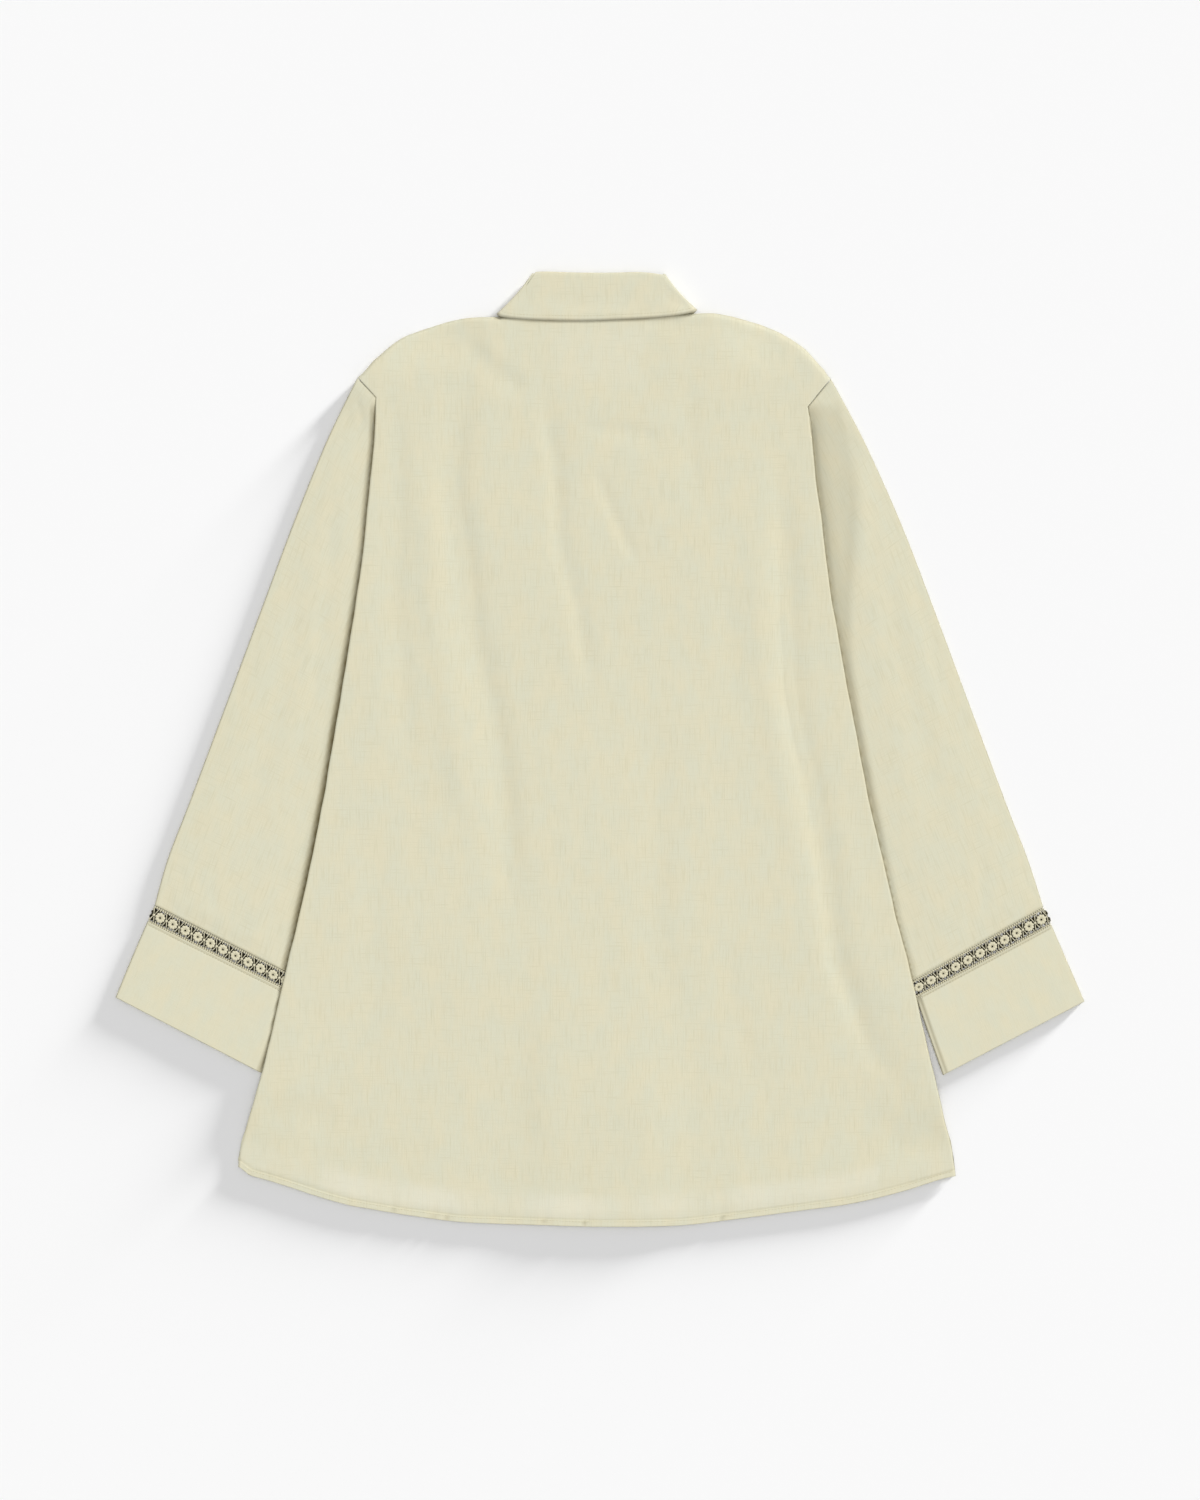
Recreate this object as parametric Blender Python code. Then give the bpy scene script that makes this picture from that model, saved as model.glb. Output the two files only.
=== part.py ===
"""Button-down tunic shirt lying flat on its front, as cut-and-sewn pieces of thin cloth.

Lengths in the tables are millimetres and the finished meshes are metres. The origin is the middle of
the underside, +X runs to the wearer's right sleeve, +Y to the collar and +Z up, away from the floor.
Each layer of cloth rests on the one below: sleeves on the floor, fronts over them, the back on top.
"""
import math
from collections import namedtuple

import bmesh
import bpy

MM = 0.001

# Cloth and seams
WALL = 1.1
SEAM_GAP = 0.3
LAYER = WALL + SEAM_GAP
FLOOR_LEVEL = WALL / 2.0

# Sleeves, lace and cuffs
TUBE_HEIGHT = 3.2
SLEEVE_BULGE = 1.4
BULGE_START = 5.0
BULGE_RAMP = 34.0
EDGE_FADE = 26.0
LIFT_OVER_SLEEVE = 3.5
LIFT_MARGIN = 15.0
LIFT_RAMP = 60.0
LACE_PITCH = 12.3
LACE_RAIL = 1.5
LACE_GAP_WIDE = 5.4
LACE_GAP_NARROW = 1.4
LACE_BAR = 2.6
LACE_END_BEND = 3.0
LACE_BEND_RUN = 1.2

# Front lap and buttons
LAP_HALF = 15.0
LAP_FLAT = 20.0
LAP_RAMP = 60.0
LAP_MARGIN = 8.0
BACK_LAP_FLAT = 34.0
LAP_RISE_START = -75.0
LAP_RISE_RAMP = 40.0
BUTTON_RADIUS = 5.75
BUTTON_HEIGHT = 2.0
BUTTON_RIM = 0.5
BUTTON_LIFT = BUTTON_HEIGHT + SEAM_GAP
BUTTON_COUNT = 7
BUTTON_TOP = 275.0
BUTTON_PITCH = 85.0
COLLAR_BUTTON_AT = 328.0
LAST_LIFT_AT = -300.0
LIFT_END_AT = -400.0

# Collar and neck
FRONT_NECK_AT = 311.0
NECK_CURVE = 1.7
NECK_STEPS = 7
STAND_FRONT_WIDTH = 33.0
STAND_BACK_LEVEL = 6.0
STAND_FRONT_LEVEL = FLOOR_LEVEL + BUTTON_LIFT
FALL_BACK_LEVEL = STAND_BACK_LEVEL + LAYER
NECK_ZONE_HALF = 94.0
NECK_ZONE_LOW = 285.0
NECK_ZONE_RAMP = 45.0

# Back panel's soft form
BACK_LEVEL = 6.0
EDGE_RAMP = 44.0
EDGE_LEVEL_STRIP = 4.0
HEM_DEPTH = 5.5
HEM_EXTRA = 0.4
FRONT_INSET = 1.2

# How finely the pieces are divided
SIDE_SPACING = 30.0
BACK_EDGE_COLUMNS = (0.0, 0.011, 0.035)
BACK_MIDDLE_COLUMNS = 22
HEM_CORNER_LEFT = 0.35
HEM_CORNER_RIGHT = 0.25
FRONT_EDGE_SHARE = 0.03
FRONT_SHOULDER_STEPS = 6
TUBE_FLATS = (0.0, 0.08, 0.2, 0.35, 0.5, 0.65, 0.8, 0.92, 1.0)
TUBE_FOLD_STEPS = 4
SLEEVE_STEPS = (2, 2, 2, 2, 2, 1, 1)
CUFF_STEPS = (2, 2)
FLAP_STEPS = (2, 2)
FALL_BACK_STEPS = (2, 2, 2, 2, 2)
FALL_FOLD_STEPS = 6
FALL_ROWS = 4
STAND_BACK_STEPS = 10
STAND_FOLD_STEPS = 4
STAND_ROWS = 2
STAND_CLEARANCE_POWER = 6
BUTTON_SEGMENTS = 16
WELD_DISTANCE = 0.01
SMOOTH_ANGLE = 40.0

SideRow = namedtuple("SideRow", "left_x left_y right_x right_y")
BODY_SIDES = (
    SideRow(-318.0, -366.5, 312.8, -374.6),
    SideRow(-316.5, -352.0, 309.8, -352.0),
    SideRow(-309.4, -325.6, 303.1, -325.6),
    SideRow(-299.1, -290.4, 295.2, -290.4),
    SideRow(-290.0, -255.2, 286.4, -255.2),
    SideRow(-274.1, -184.8, 270.6, -184.8),
    SideRow(-257.4, -114.4, 253.0, -114.4),
    SideRow(-243.3, -44.0, 236.3, -44.0),
    SideRow(-228.4, 44.0, 219.6, 44.0),
    SideRow(-214.3, 132.0, 203.7, 132.0),
    SideRow(-205.5, 202.4, 194.9, 202.4),
    SideRow(-198.4, 272.8, 186.6, 272.8),
    SideRow(-196.7, 309.8, 182.5, 301.5),
)
SHOULDER_TIPS = SideRow(-213.0, 327.4, 202.8, 326.5)

EdgePoint = namedtuple("EdgePoint", "x y")
HEM = (
    EdgePoint(-318.0, -366.5),
    EdgePoint(-308.0, -374.0),
    EdgePoint(-281.6, -381.7),
    EdgePoint(-246.4, -393.0),
    EdgePoint(-220.0, -400.5),
    EdgePoint(-176.0, -408.0),
    EdgePoint(-123.2, -415.0),
    EdgePoint(-44.0, -417.8),
    EdgePoint(0.0, -419.0),
    EdgePoint(70.4, -418.0),
    EdgePoint(123.2, -412.0),
    EdgePoint(176.0, -405.1),
    EdgePoint(220.0, -399.0),
    EdgePoint(264.0, -388.6),
    EdgePoint(312.8, -374.6),
)
LEFT_SHOULDER = (
    EdgePoint(-213.0, 327.4),
    EdgePoint(-198.0, 343.2),
    EdgePoint(-176.1, 360.8),
    EdgePoint(-155.8, 369.6),
    EdgePoint(-124.5, 378.4),
    EdgePoint(-97.0, 380.4),
    EdgePoint(-86.0, 380.0),
)
RIGHT_SHOULDER = (
    EdgePoint(80.5, 383.4),
    EdgePoint(105.6, 382.8),
    EdgePoint(140.8, 374.2),
    EdgePoint(161.0, 365.2),
    EdgePoint(180.6, 352.0),
    EdgePoint(196.7, 334.4),
    EdgePoint(202.8, 326.5),
)

# Each row is a section across a sleeve, from the outer fold to the hidden inner fold.
SleeveRow = namedtuple("SleeveRow", "outer_x outer_y inner_x inner_y")
LEFT_SLEEVE = (
    SleeveRow(-213.4, 327.0, -124.0, 236.0),
    SleeveRow(-239.9, 272.8, -130.0, 172.0),
    SleeveRow(-268.5, 202.4, -140.0, 104.0),
    SleeveRow(-294.8, 132.0, -156.0, 40.0),
    SleeveRow(-327.4, 44.0, -185.0, -35.0),
    SleeveRow(-360.3, -44.0, -216.0, -112.0),
    SleeveRow(-380.0, -95.5, -244.0, -162.0),
    SleeveRow(-391.6, -136.4, -265.8, -200.3),
)
RIGHT_SLEEVE = (
    SleeveRow(203.2, 326.0, 122.0, 228.0),
    SleeveRow(231.7, 272.8, 126.0, 168.0),
    SleeveRow(263.4, 202.4, 137.0, 102.0),
    SleeveRow(290.7, 132.0, 153.0, 40.0),
    SleeveRow(323.4, 44.0, 182.0, -35.0),
    SleeveRow(356.0, -44.0, 214.0, -112.0),
    SleeveRow(376.0, -95.5, 244.0, -162.0),
    SleeveRow(389.8, -138.2, 271.9, -205.0),
)
LEFT_LACE = (
    SleeveRow(-391.8, -136.8, -266.0, -200.7),
    SleeveRow(-397.8, -150.5, -270.7, -213.6),
)
RIGHT_LACE = (
    SleeveRow(390.0, -138.6, 272.1, -205.4),
    SleeveRow(396.9, -153.6, 277.6, -217.4),
)
LEFT_CUFF = (
    SleeveRow(-398.0, -150.9, -270.9, -214.0),
    SleeveRow(-412.3, -184.0, -284.0, -248.0),
    SleeveRow(-426.0, -217.5, -297.4, -284.2),
)
RIGHT_CUFF = (
    SleeveRow(397.1, -154.0, 277.8, -217.8),
    SleeveRow(411.6, -187.6, 289.0, -250.5),
    SleeveRow(426.0, -221.0, 301.5, -285.8),
)

# Stations round the collar from the left front end to the right one: the folded top edge and the
# free lower edge of the fall.
FallRow = namedtuple("FallRow", "top_x top_y low_x low_y")
FALL_LEFT_FRONT = (
    FallRow(-11.0, 346.0, -62.0, 292.0),
    FallRow(-38.0, 383.0, -76.0, 338.0),
    FallRow(-57.0, 416.0, -88.0, 380.6),
)
FALL_BACK = (
    FallRow(-57.0, 418.6, -88.0, 380.6),
    FallRow(-48.0, 419.0, -69.0, 378.2),
    FallRow(-18.0, 418.0, -19.0, 376.6),
    FallRow(12.0, 418.0, 21.0, 378.0),
    FallRow(36.0, 418.6, 60.0, 380.5),
    FallRow(54.5, 416.6, 82.6, 384.2),
)
FALL_RIGHT_FRONT = (
    FallRow(54.5, 415.6, 82.6, 384.2),
    FallRow(38.0, 382.0, 74.0, 340.0),
    FallRow(11.0, 346.0, 62.0, 292.0),
)
STAND_TOP = EdgePoint(-58.0, 414.0)
STAND_TOP_RIGHT = EdgePoint(53.0, 413.6)

# The back's largest soft troughs, each a run of points with its half width and depth.
Trough = namedtuple("Trough", "half_width depth points")
BACK_TROUGHS = (
    Trough(16.0, 1.0, ((-106.0, 352.0), (-128.0, 273.0), (-112.0, 97.0), (-88.0, 0.0), (-79.0, -132.0))),
    Trough(20.0, 1.1, ((158.0, 229.0), (163.0, 132.0), (185.0, -35.0), (207.0, -185.0), (282.0, -317.0))),
)

Finish = namedtuple("Finish", "name red green blue roughness")
CLOTH = Finish("cotton_voile", 0.716, 0.687, 0.521, 0.85)
CUFF_CLOTH = Finish("cuff_voile", 0.730, 0.701, 0.531, 0.85)
LACE_COTTON = Finish("lace_cotton", 0.665, 0.630, 0.455, 0.80)
BUTTON_RESIN = Finish("button_resin", 0.760, 0.735, 0.610, 0.30)


def smooth(value):
    """Ease from 0 to 1 as the value goes from 0 to 1, with level ends."""
    clamped = max(0.0, min(1.0, value))
    return clamped * clamped * (3.0 - 2.0 * clamped)


def blend(start, end, share):
    """Point a given share of the way from start to end."""
    return tuple(a + (b - a) * share for a, b in zip(start, end))


def spline(points, place):
    """Point on a Catmull-Rom curve through the points; place runs from 0 to the last index."""
    last = len(points) - 1
    index = min(int(place), last - 1)
    share = place - index
    before = points[max(index - 1, 0)]
    start = points[index]
    end = points[index + 1]
    after = points[min(index + 2, last)]
    result = []
    for p0, p1, p2, p3 in zip(before, start, end, after):
        linear = 0.5 * (p2 - p0)
        square = p0 - 2.5 * p1 + 2.0 * p2 - 0.5 * p3
        cube = 0.5 * (p3 - p0) + 1.5 * (p1 - p2)
        result.append(p1 + share * (linear + share * (square + share * cube)))
    return tuple(result)


def height_at(points, x):
    """Y of a curve whose points run from left to right, read at x."""
    if x <= points[0][0]:
        return points[0][1]
    for index in range(len(points) - 1):
        if x <= points[index + 1][0]:
            share = (x - points[index][0]) / (points[index + 1][0] - points[index][0])
            return spline(points, index + share)[1]
    return points[-1][1]


def distance_to_path(x, y, path):
    """Shortest distance from a point to a chain of straight runs."""
    nearest = float("inf")
    for (ax, ay), (bx, by) in zip(path, path[1:]):
        length = (bx - ax) ** 2 + (by - ay) ** 2
        share = max(0.0, min(1.0, ((x - ax) * (bx - ax) + (y - ay) * (by - ay)) / length))
        nearest = min(nearest, math.hypot(x - ax - (bx - ax) * share, y - ay - (by - ay) * share))
    return nearest


def is_inside(x, y, outline):
    """True where a point lies inside a closed outline."""
    inside = False
    for (ax, ay), (bx, by) in zip(outline, outline[1:] + outline[:1]):
        if (ay > y) != (by > y) and x < ax + (y - ay) * (bx - ax) / (by - ay):
            inside = not inside
    return inside


def section_point(row, share):
    """Plan point across a sleeve section, 0 at the outer fold and 1 at the inner fold."""
    return blend((row.outer_x, row.outer_y), (row.inner_x, row.inner_y), share)


def arm_outline(sleeve, cuff):
    """Outline of a whole arm on the floor, from the armhole to the cuff's edge."""
    inner = [(row.inner_x, row.inner_y) for row in sleeve + cuff]
    outer = [(row.outer_x, row.outer_y) for row in sleeve + cuff]
    return inner + outer[::-1]


ARMS = (arm_outline(LEFT_SLEEVE, LEFT_CUFF), arm_outline(RIGHT_SLEEVE, RIGHT_CUFF))


def arm_lift(x, y):
    """How far a panel is lifted by the arm under it."""
    outline = ARMS[0] if x < 0.0 else ARMS[1]
    away = 0.0 if is_inside(x, y, outline) else distance_to_path(x, y, outline + outline[:1])
    return LIFT_OVER_SLEEVE * smooth(1.0 - (away - LIFT_MARGIN) / LIFT_RAMP)


def neck_zone(x, y):
    """1 over the collar's front flaps, easing to 0 around them."""
    away = math.hypot(max(0.0, abs(x) - NECK_ZONE_HALF), max(0.0, NECK_ZONE_LOW - y))
    return smooth(1.0 - away / NECK_ZONE_RAMP)


def lap_zone(x, y, widen):
    """1 over the buttoned lap, easing to 0 beside it and towards the hem."""
    beside = smooth(1.0 - (abs(x) - LAP_FLAT - widen) / LAP_RAMP)
    along = smooth((y - LIFT_END_AT) / (LAST_LIFT_AT - LIFT_END_AT))
    return beside * along


def lap_rise(x):
    """How far the lap's upper layer stands over its lower one."""
    return LAYER * smooth((x - LAP_RISE_START) / LAP_RISE_RAMP)


def front_level(x, y, upper_layer):
    """Height of the middle of a front's cloth; the upper layer lies over the lap."""
    level = FLOOR_LEVEL + arm_lift(x, y) + BUTTON_LIFT * max(lap_zone(x, y, 0.0), neck_zone(x, y))
    if upper_layer:
        level += lap_rise(x)
    return level


def trough_depth(x, y):
    """Depth of the back's soft troughs at a point."""
    depth = 0.0
    for trough in BACK_TROUGHS:
        away = distance_to_path(x, y, trough.points) / trough.half_width
        depth += trough.depth * math.exp(-away * away)
    return depth


def back_level(x, y, edge_distance):
    """Height of the middle of the back's cloth: it rests on the fronts and spans level between them."""
    lifted = BUTTON_LIFT * max(lap_zone(x, y, LAP_MARGIN), neck_zone(x, y))
    over_lap = LAYER * max(smooth(1.0 - (abs(x) - BACK_LAP_FLAT) / LAP_RAMP), neck_zone(x, y))
    resting = FLOOR_LEVEL + LAYER + SEAM_GAP + arm_lift(x, y) + lifted + over_lap
    rise = smooth((edge_distance - EDGE_LEVEL_STRIP) / EDGE_RAMP)
    spanned = resting + (BACK_LEVEL - resting) * rise
    return max(resting, spanned - trough_depth(x, y) * rise)


def clear_scene():
    """Remove whatever the scene holds."""
    for item in list(bpy.data.objects):
        bpy.data.objects.remove(item, do_unlink=True)


def make_material(finish):
    """Principled material with the finish's colour and roughness."""
    material = bpy.data.materials.new(finish.name)
    material.use_nodes = True
    shader = material.node_tree.nodes["Principled BSDF"]
    shader.inputs["Base Color"].default_value = (finish.red, finish.green, finish.blue, 1.0)
    shader.inputs["Roughness"].default_value = finish.roughness
    shader.inputs["Metallic"].default_value = 0.0
    return material


def add_object(name, shape, finish):
    """Turn a bmesh into a named object with its own material, shaded smooth."""
    mesh = bpy.data.meshes.new(name)
    shape.to_mesh(mesh)
    shape.free()
    mesh.materials.append(make_material(finish))
    mesh.shade_smooth()
    mesh.set_sharp_from_angle(angle=math.radians(SMOOTH_ANGLE))
    piece = bpy.data.objects.new(name, mesh)
    bpy.context.scene.collection.objects.link(piece)
    return piece


def mapped_grid(columns, rows, place):
    """Grid whose vertex at a column and row is moved to the place a function gives, in mm."""
    shape = bmesh.new()
    bmesh.ops.create_grid(shape, x_segments=columns, y_segments=rows, size=0.5)
    for vertex in shape.verts:
        column = round((vertex.co.x + 0.5) * columns)
        row = round((vertex.co.y + 0.5) * rows)
        vertex.co = [value * MM for value in place(column, row)]
    return shape


def raise_wall(shape, thickness):
    """Turn an open sheet into a wall by extruding it straight up."""
    raised = bmesh.ops.extrude_face_region(shape, geom=shape.faces[:])
    new_verts = [item for item in raised["geom"] if isinstance(item, bmesh.types.BMVert)]
    bmesh.ops.translate(shape, verts=new_verts, vec=(0.0, 0.0, thickness * MM))
    bmesh.ops.recalc_face_normals(shape, faces=shape.faces[:])
    return new_verts


def spread(counts):
    """Evenly divided places along a table's rows, given how many steps each gap has."""
    places = [0.0]
    for index, count in enumerate(counts):
        places.extend(index + (step + 1) / count for step in range(count))
    return places


def side_steps():
    """Steps between the rows of the body's sides, so that they are about evenly spaced."""
    counts = []
    for low, high in zip(BODY_SIDES, BODY_SIDES[1:]):
        counts.append(max(1, round((high.left_y - low.left_y) / SIDE_SPACING)))
    return counts


def side_points():
    """Left and right edge points of the body from the hem to the shoulder tips."""
    points = [spline(BODY_SIDES, place) for place in spread(side_steps())]
    points.append(blend(BODY_SIDES[-1], SHOULDER_TIPS, 0.5))
    points.append(tuple(SHOULDER_TIPS))
    return [((p[0], p[1]), (p[2], p[3])) for p in points]


def patch_point(bottom, top, left, right, corners, share):
    """Point of a four-sided patch from its edge points and corners (a Coons patch)."""
    across, up = share
    result = []
    for axis in range(2):
        sides = (1.0 - across) * left[axis] + across * right[axis]
        ends = (1.0 - up) * bottom[axis] + up * top[axis]
        low = (1.0 - across) * corners[0][axis] + across * corners[1][axis]
        high = (1.0 - across) * corners[2][axis] + across * corners[3][axis]
        result.append(sides + ends - (1.0 - up) * low - up * high)
    return tuple(result)


def column_shares(edge_shares, middle_count):
    """Column places from 0 to 1: close together at both edges, even between them."""
    start = edge_shares[-1]
    middle = [start + (1.0 - 2.0 * start) * step / middle_count for step in range(1, middle_count)]
    return list(edge_shares) + middle + [1.0 - share for share in reversed(edge_shares)]


def back_top(x):
    """Y of the back's top edge: shoulder, neck seam, shoulder."""
    if x < LEFT_SHOULDER[-1].x:
        return height_at(LEFT_SHOULDER, x)
    if x > RIGHT_SHOULDER[0].x:
        return height_at(RIGHT_SHOULDER, x)
    share = (x - LEFT_SHOULDER[-1].x) / (RIGHT_SHOULDER[0].x - LEFT_SHOULDER[-1].x)
    return LEFT_SHOULDER[-1].y + (RIGHT_SHOULDER[0].y - LEFT_SHOULDER[-1].y) * share


def back_plan():
    """Plan points of the back panel, row by row from the hem, with each point's edge distance."""
    sides = side_points()
    columns = column_shares(BACK_EDGE_COLUMNS, BACK_MIDDLE_COLUMNS)
    bottom_left, bottom_right = sides[0]
    top_left, top_right = sides[-1]
    corners = (bottom_left, bottom_right, top_left, top_right)
    bottoms = []
    tops = []
    for share in columns:
        low_x = bottom_left[0] + (bottom_right[0] - bottom_left[0]) * share
        high_x = top_left[0] + (top_right[0] - top_left[0]) * share
        bottoms.append((low_x, height_at(HEM, low_x)))
        tops.append((high_x, back_top(high_x)))
    rows = []
    low_y = 0.5 * (bottom_left[1] + bottom_right[1])
    high_y = 0.5 * (top_left[1] + top_right[1])
    for left, right in sides:
        up = (0.5 * (left[1] + right[1]) - low_y) / (high_y - low_y)
        row = []
        for index, share in enumerate(columns):
            row.append(patch_point(bottoms[index], tops[index], left, right, corners, (share, up)))
        rows.append(row)
    hem_row = [(x, y + HEM_DEPTH) for x, y in rows[0]]
    hem_row[0] = blend(rows[0][0], rows[1][0], HEM_CORNER_LEFT)
    hem_row[-1] = blend(rows[0][-1], rows[1][-1], HEM_CORNER_RIGHT)
    rows.insert(1, hem_row)
    return rows


def edge_distance(x, y):
    """Distance from a plan point inside the body to its nearest edge, apart from the neck."""
    left = [(row.left_x, row.left_y) for row in BODY_SIDES] + [SHOULDER_TIPS[:2]]
    right = [(row.right_x, row.right_y) for row in BODY_SIDES] + [SHOULDER_TIPS[2:]]
    nearest = min(distance_to_path(x, y, left), distance_to_path(x, y, right))
    nearest = min(nearest, distance_to_path(x, y, HEM))
    return min(nearest, distance_to_path(x, y, LEFT_SHOULDER), distance_to_path(x, y, RIGHT_SHOULDER))


def build_back():
    """One-piece back, the top layer, with its narrow folded hem a little thicker."""
    plan = back_plan()

    def place(column, row):
        x, y = plan[row][column]
        return x, y, back_level(x, y, edge_distance(x, y)) - WALL / 2.0

    shape = mapped_grid(len(plan[0]) - 1, len(plan) - 1, place)
    for vertex in raise_wall(shape, WALL):
        near_hem = distance_to_path(vertex.co.x / MM, vertex.co.y / MM, HEM) < HEM_DEPTH * 0.5
        if near_hem:
            vertex.co.z += HEM_EXTRA * MM
    add_object("back", shape, CLOTH)


def front_neck(share, sign):
    """Point of a front's neckline, from the shoulder's neck point to the lap's top."""
    start = LEFT_SHOULDER[-1] if sign < 0.0 else RIGHT_SHOULDER[0]
    x = start.x + (-sign * LAP_HALF - start.x) * share
    y = FRONT_NECK_AT + (start.y - FRONT_NECK_AT) * (1.0 - share) ** NECK_CURVE
    return x, y


def front_plan(sign):
    """Plan points of a front; sign is -1 on the left and 1 on the right. Rows start at the hem."""
    sides = [left if sign < 0.0 else right for left, right in side_points()]
    sides = [(x - sign * FRONT_INSET, y + (FRONT_INSET if y < 0.0 else 0.0)) for x, y in sides[:-2]]
    tip = SHOULDER_TIPS[:2] if sign < 0.0 else SHOULDER_TIPS[2:]
    notch = sides[-1]
    tip = (tip[0] - sign * FRONT_INSET, tip[1] - FRONT_INSET)
    sides.extend((blend(notch, tip, 0.5), tip))
    lap_x = -sign * LAP_HALF
    lap_low = (lap_x, height_at(HEM, lap_x) + FRONT_INSET)
    lap_high = (lap_x, FRONT_NECK_AT)
    neck = LEFT_SHOULDER[-1] if sign < 0.0 else RIGHT_SHOULDER[0]
    neck_share = (neck.x - tip[0]) / (lap_x - tip[0])
    shares = [0.0, FRONT_EDGE_SHARE]
    shoulder_steps = range(1, FRONT_SHOULDER_STEPS + 1)
    shares.extend(neck_share * step / FRONT_SHOULDER_STEPS for step in shoulder_steps)
    neck_steps = range(1, NECK_STEPS + 1)
    shares.extend(neck_share + (1.0 - neck_share) * step / NECK_STEPS for step in neck_steps)
    corners = (sides[0], lap_low, sides[-1], lap_high)
    rows = []
    for side in sides:
        up = (side[1] - sides[0][1]) / (sides[-1][1] - sides[0][1])
        lap = blend(lap_low, lap_high, up)
        row = []
        for share in shares:
            low_x = sides[0][0] + (lap_x - sides[0][0]) * share
            low = (low_x, height_at(HEM, low_x) + FRONT_INSET)
            if share <= neck_share:
                high_x = tip[0] + (lap_x - tip[0]) * share
                high = (high_x, back_top(high_x) - FRONT_INSET * (1.0 - share))
            else:
                high = front_neck((share - neck_share) / (1.0 - neck_share), sign)
            row.append(patch_point(low, high, side, lap, corners, (share, up)))
        rows.append(row)
    return rows


def build_front(name, sign):
    """One front with its lap; the left one lies over the right one's lap, above it."""
    plan = front_plan(sign)

    def place(column, row):
        x, y = plan[row][column]
        return x, y, front_level(x, y, sign < 0.0) - WALL / 2.0

    shape = mapped_grid(len(plan[0]) - 1, len(plan) - 1, place)
    raise_wall(shape, WALL)
    add_object(name, shape, CLOTH)


def body_edge_at(y, sign):
    """X of the body's side edge at a height."""
    rows = BODY_SIDES
    for low, high in zip(rows, rows[1:]):
        low_y, high_y = (low.left_y, high.left_y) if sign < 0.0 else (low.right_y, high.right_y)
        if low_y <= y <= high_y:
            share = (y - low_y) / (high_y - low_y)
            low_x, high_x = (low.left_x, high.left_x) if sign < 0.0 else (low.right_x, high.right_x)
            return low_x + (high_x - low_x) * share
    return rows[0].left_x if sign < 0.0 else rows[0].right_x


def tube_top(x, y, from_outer, sign):
    """Height of an arm's upper surface: level under the body and softly raised outside it."""
    outside = (body_edge_at(y, sign) - x) * -sign
    if y > BODY_SIDES[-1].left_y:
        outside = 0.0
    rise = smooth((outside - BULGE_START) / BULGE_RAMP) * smooth(from_outer / EDGE_FADE)
    return TUBE_HEIGHT + SLEEVE_BULGE * rise


def ring_points(row, sign, bulged):
    """Points round a flattened tube at one section: bottom, outer fold, top, inner fold."""
    width = math.hypot(row.inner_x - row.outer_x, row.inner_y - row.outer_y)
    radius = TUBE_HEIGHT / 2.0
    start = radius / width
    points = []
    for flat in reversed(TUBE_FLATS):
        x, y = section_point(row, start + (1.0 - 2.0 * start) * flat)
        points.append((x, y, 0.0))
    points.extend(fold_points(row, start, radius, 0.0))
    for flat in TUBE_FLATS:
        share = start + (1.0 - 2.0 * start) * flat
        x, y = section_point(row, share)
        top = tube_top(x, y, share * width, sign) if bulged else TUBE_HEIGHT
        points.append((x, y, top))
    points.extend(fold_points(row, start, radius, 1.0))
    return points


def fold_points(row, start, radius, end):
    """Points of a tube's round fold between its flat walls: end 0 is the outer fold, 1 the inner."""
    points = []
    for step in range(1, TUBE_FOLD_STEPS):
        angle = math.pi * step / TUBE_FOLD_STEPS
        reach = start * (1.0 - math.sin(angle))
        share = reach if end == 0.0 else 1.0 - reach
        height = radius * (1.0 - math.cos(angle))
        x, y = section_point(row, share)
        points.append((x, y, height if end == 0.0 else 2.0 * radius - height))
    return points


def build_tube(name, rows, places, sign, finish, bulged):
    """Flattened cloth tube through the sections read at the given places along the table."""
    rings = [ring_points(SleeveRow(*spline(rows, place)), sign, bulged) for place in places]
    count = len(rings[0])

    def place_vertex(column, row):
        return rings[row][column % count]

    shape = mapped_grid(count, len(rings) - 1, place_vertex)
    bmesh.ops.remove_doubles(shape, verts=shape.verts[:], dist=WELD_DISTANCE * MM)
    bmesh.ops.recalc_face_normals(shape, faces=shape.faces[:])
    if outward_is_inverted(shape):
        bmesh.ops.reverse_faces(shape, faces=shape.faces[:])
    tube = add_object(name, shape, finish)
    wall = tube.modifiers.new("wall", "SOLIDIFY")
    wall.thickness = WALL * MM
    wall.offset = -1.0
    wall.use_even_offset = True
    wall.use_rim = True


def outward_is_inverted(shape):
    """True where a flattened tube's lowest faces point up, so that its surface is inside out."""
    lowest = min(shape.faces, key=lambda face: face.calc_center_median().z)
    return lowest.normal.z > 0.0


def lace_place(rows, along, across):
    """Plan point on a lace band; along and across run from 0 to 1."""
    top = section_point(rows[0], along)
    low = section_point(rows[1], along)
    return blend(low, top, across)


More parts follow.
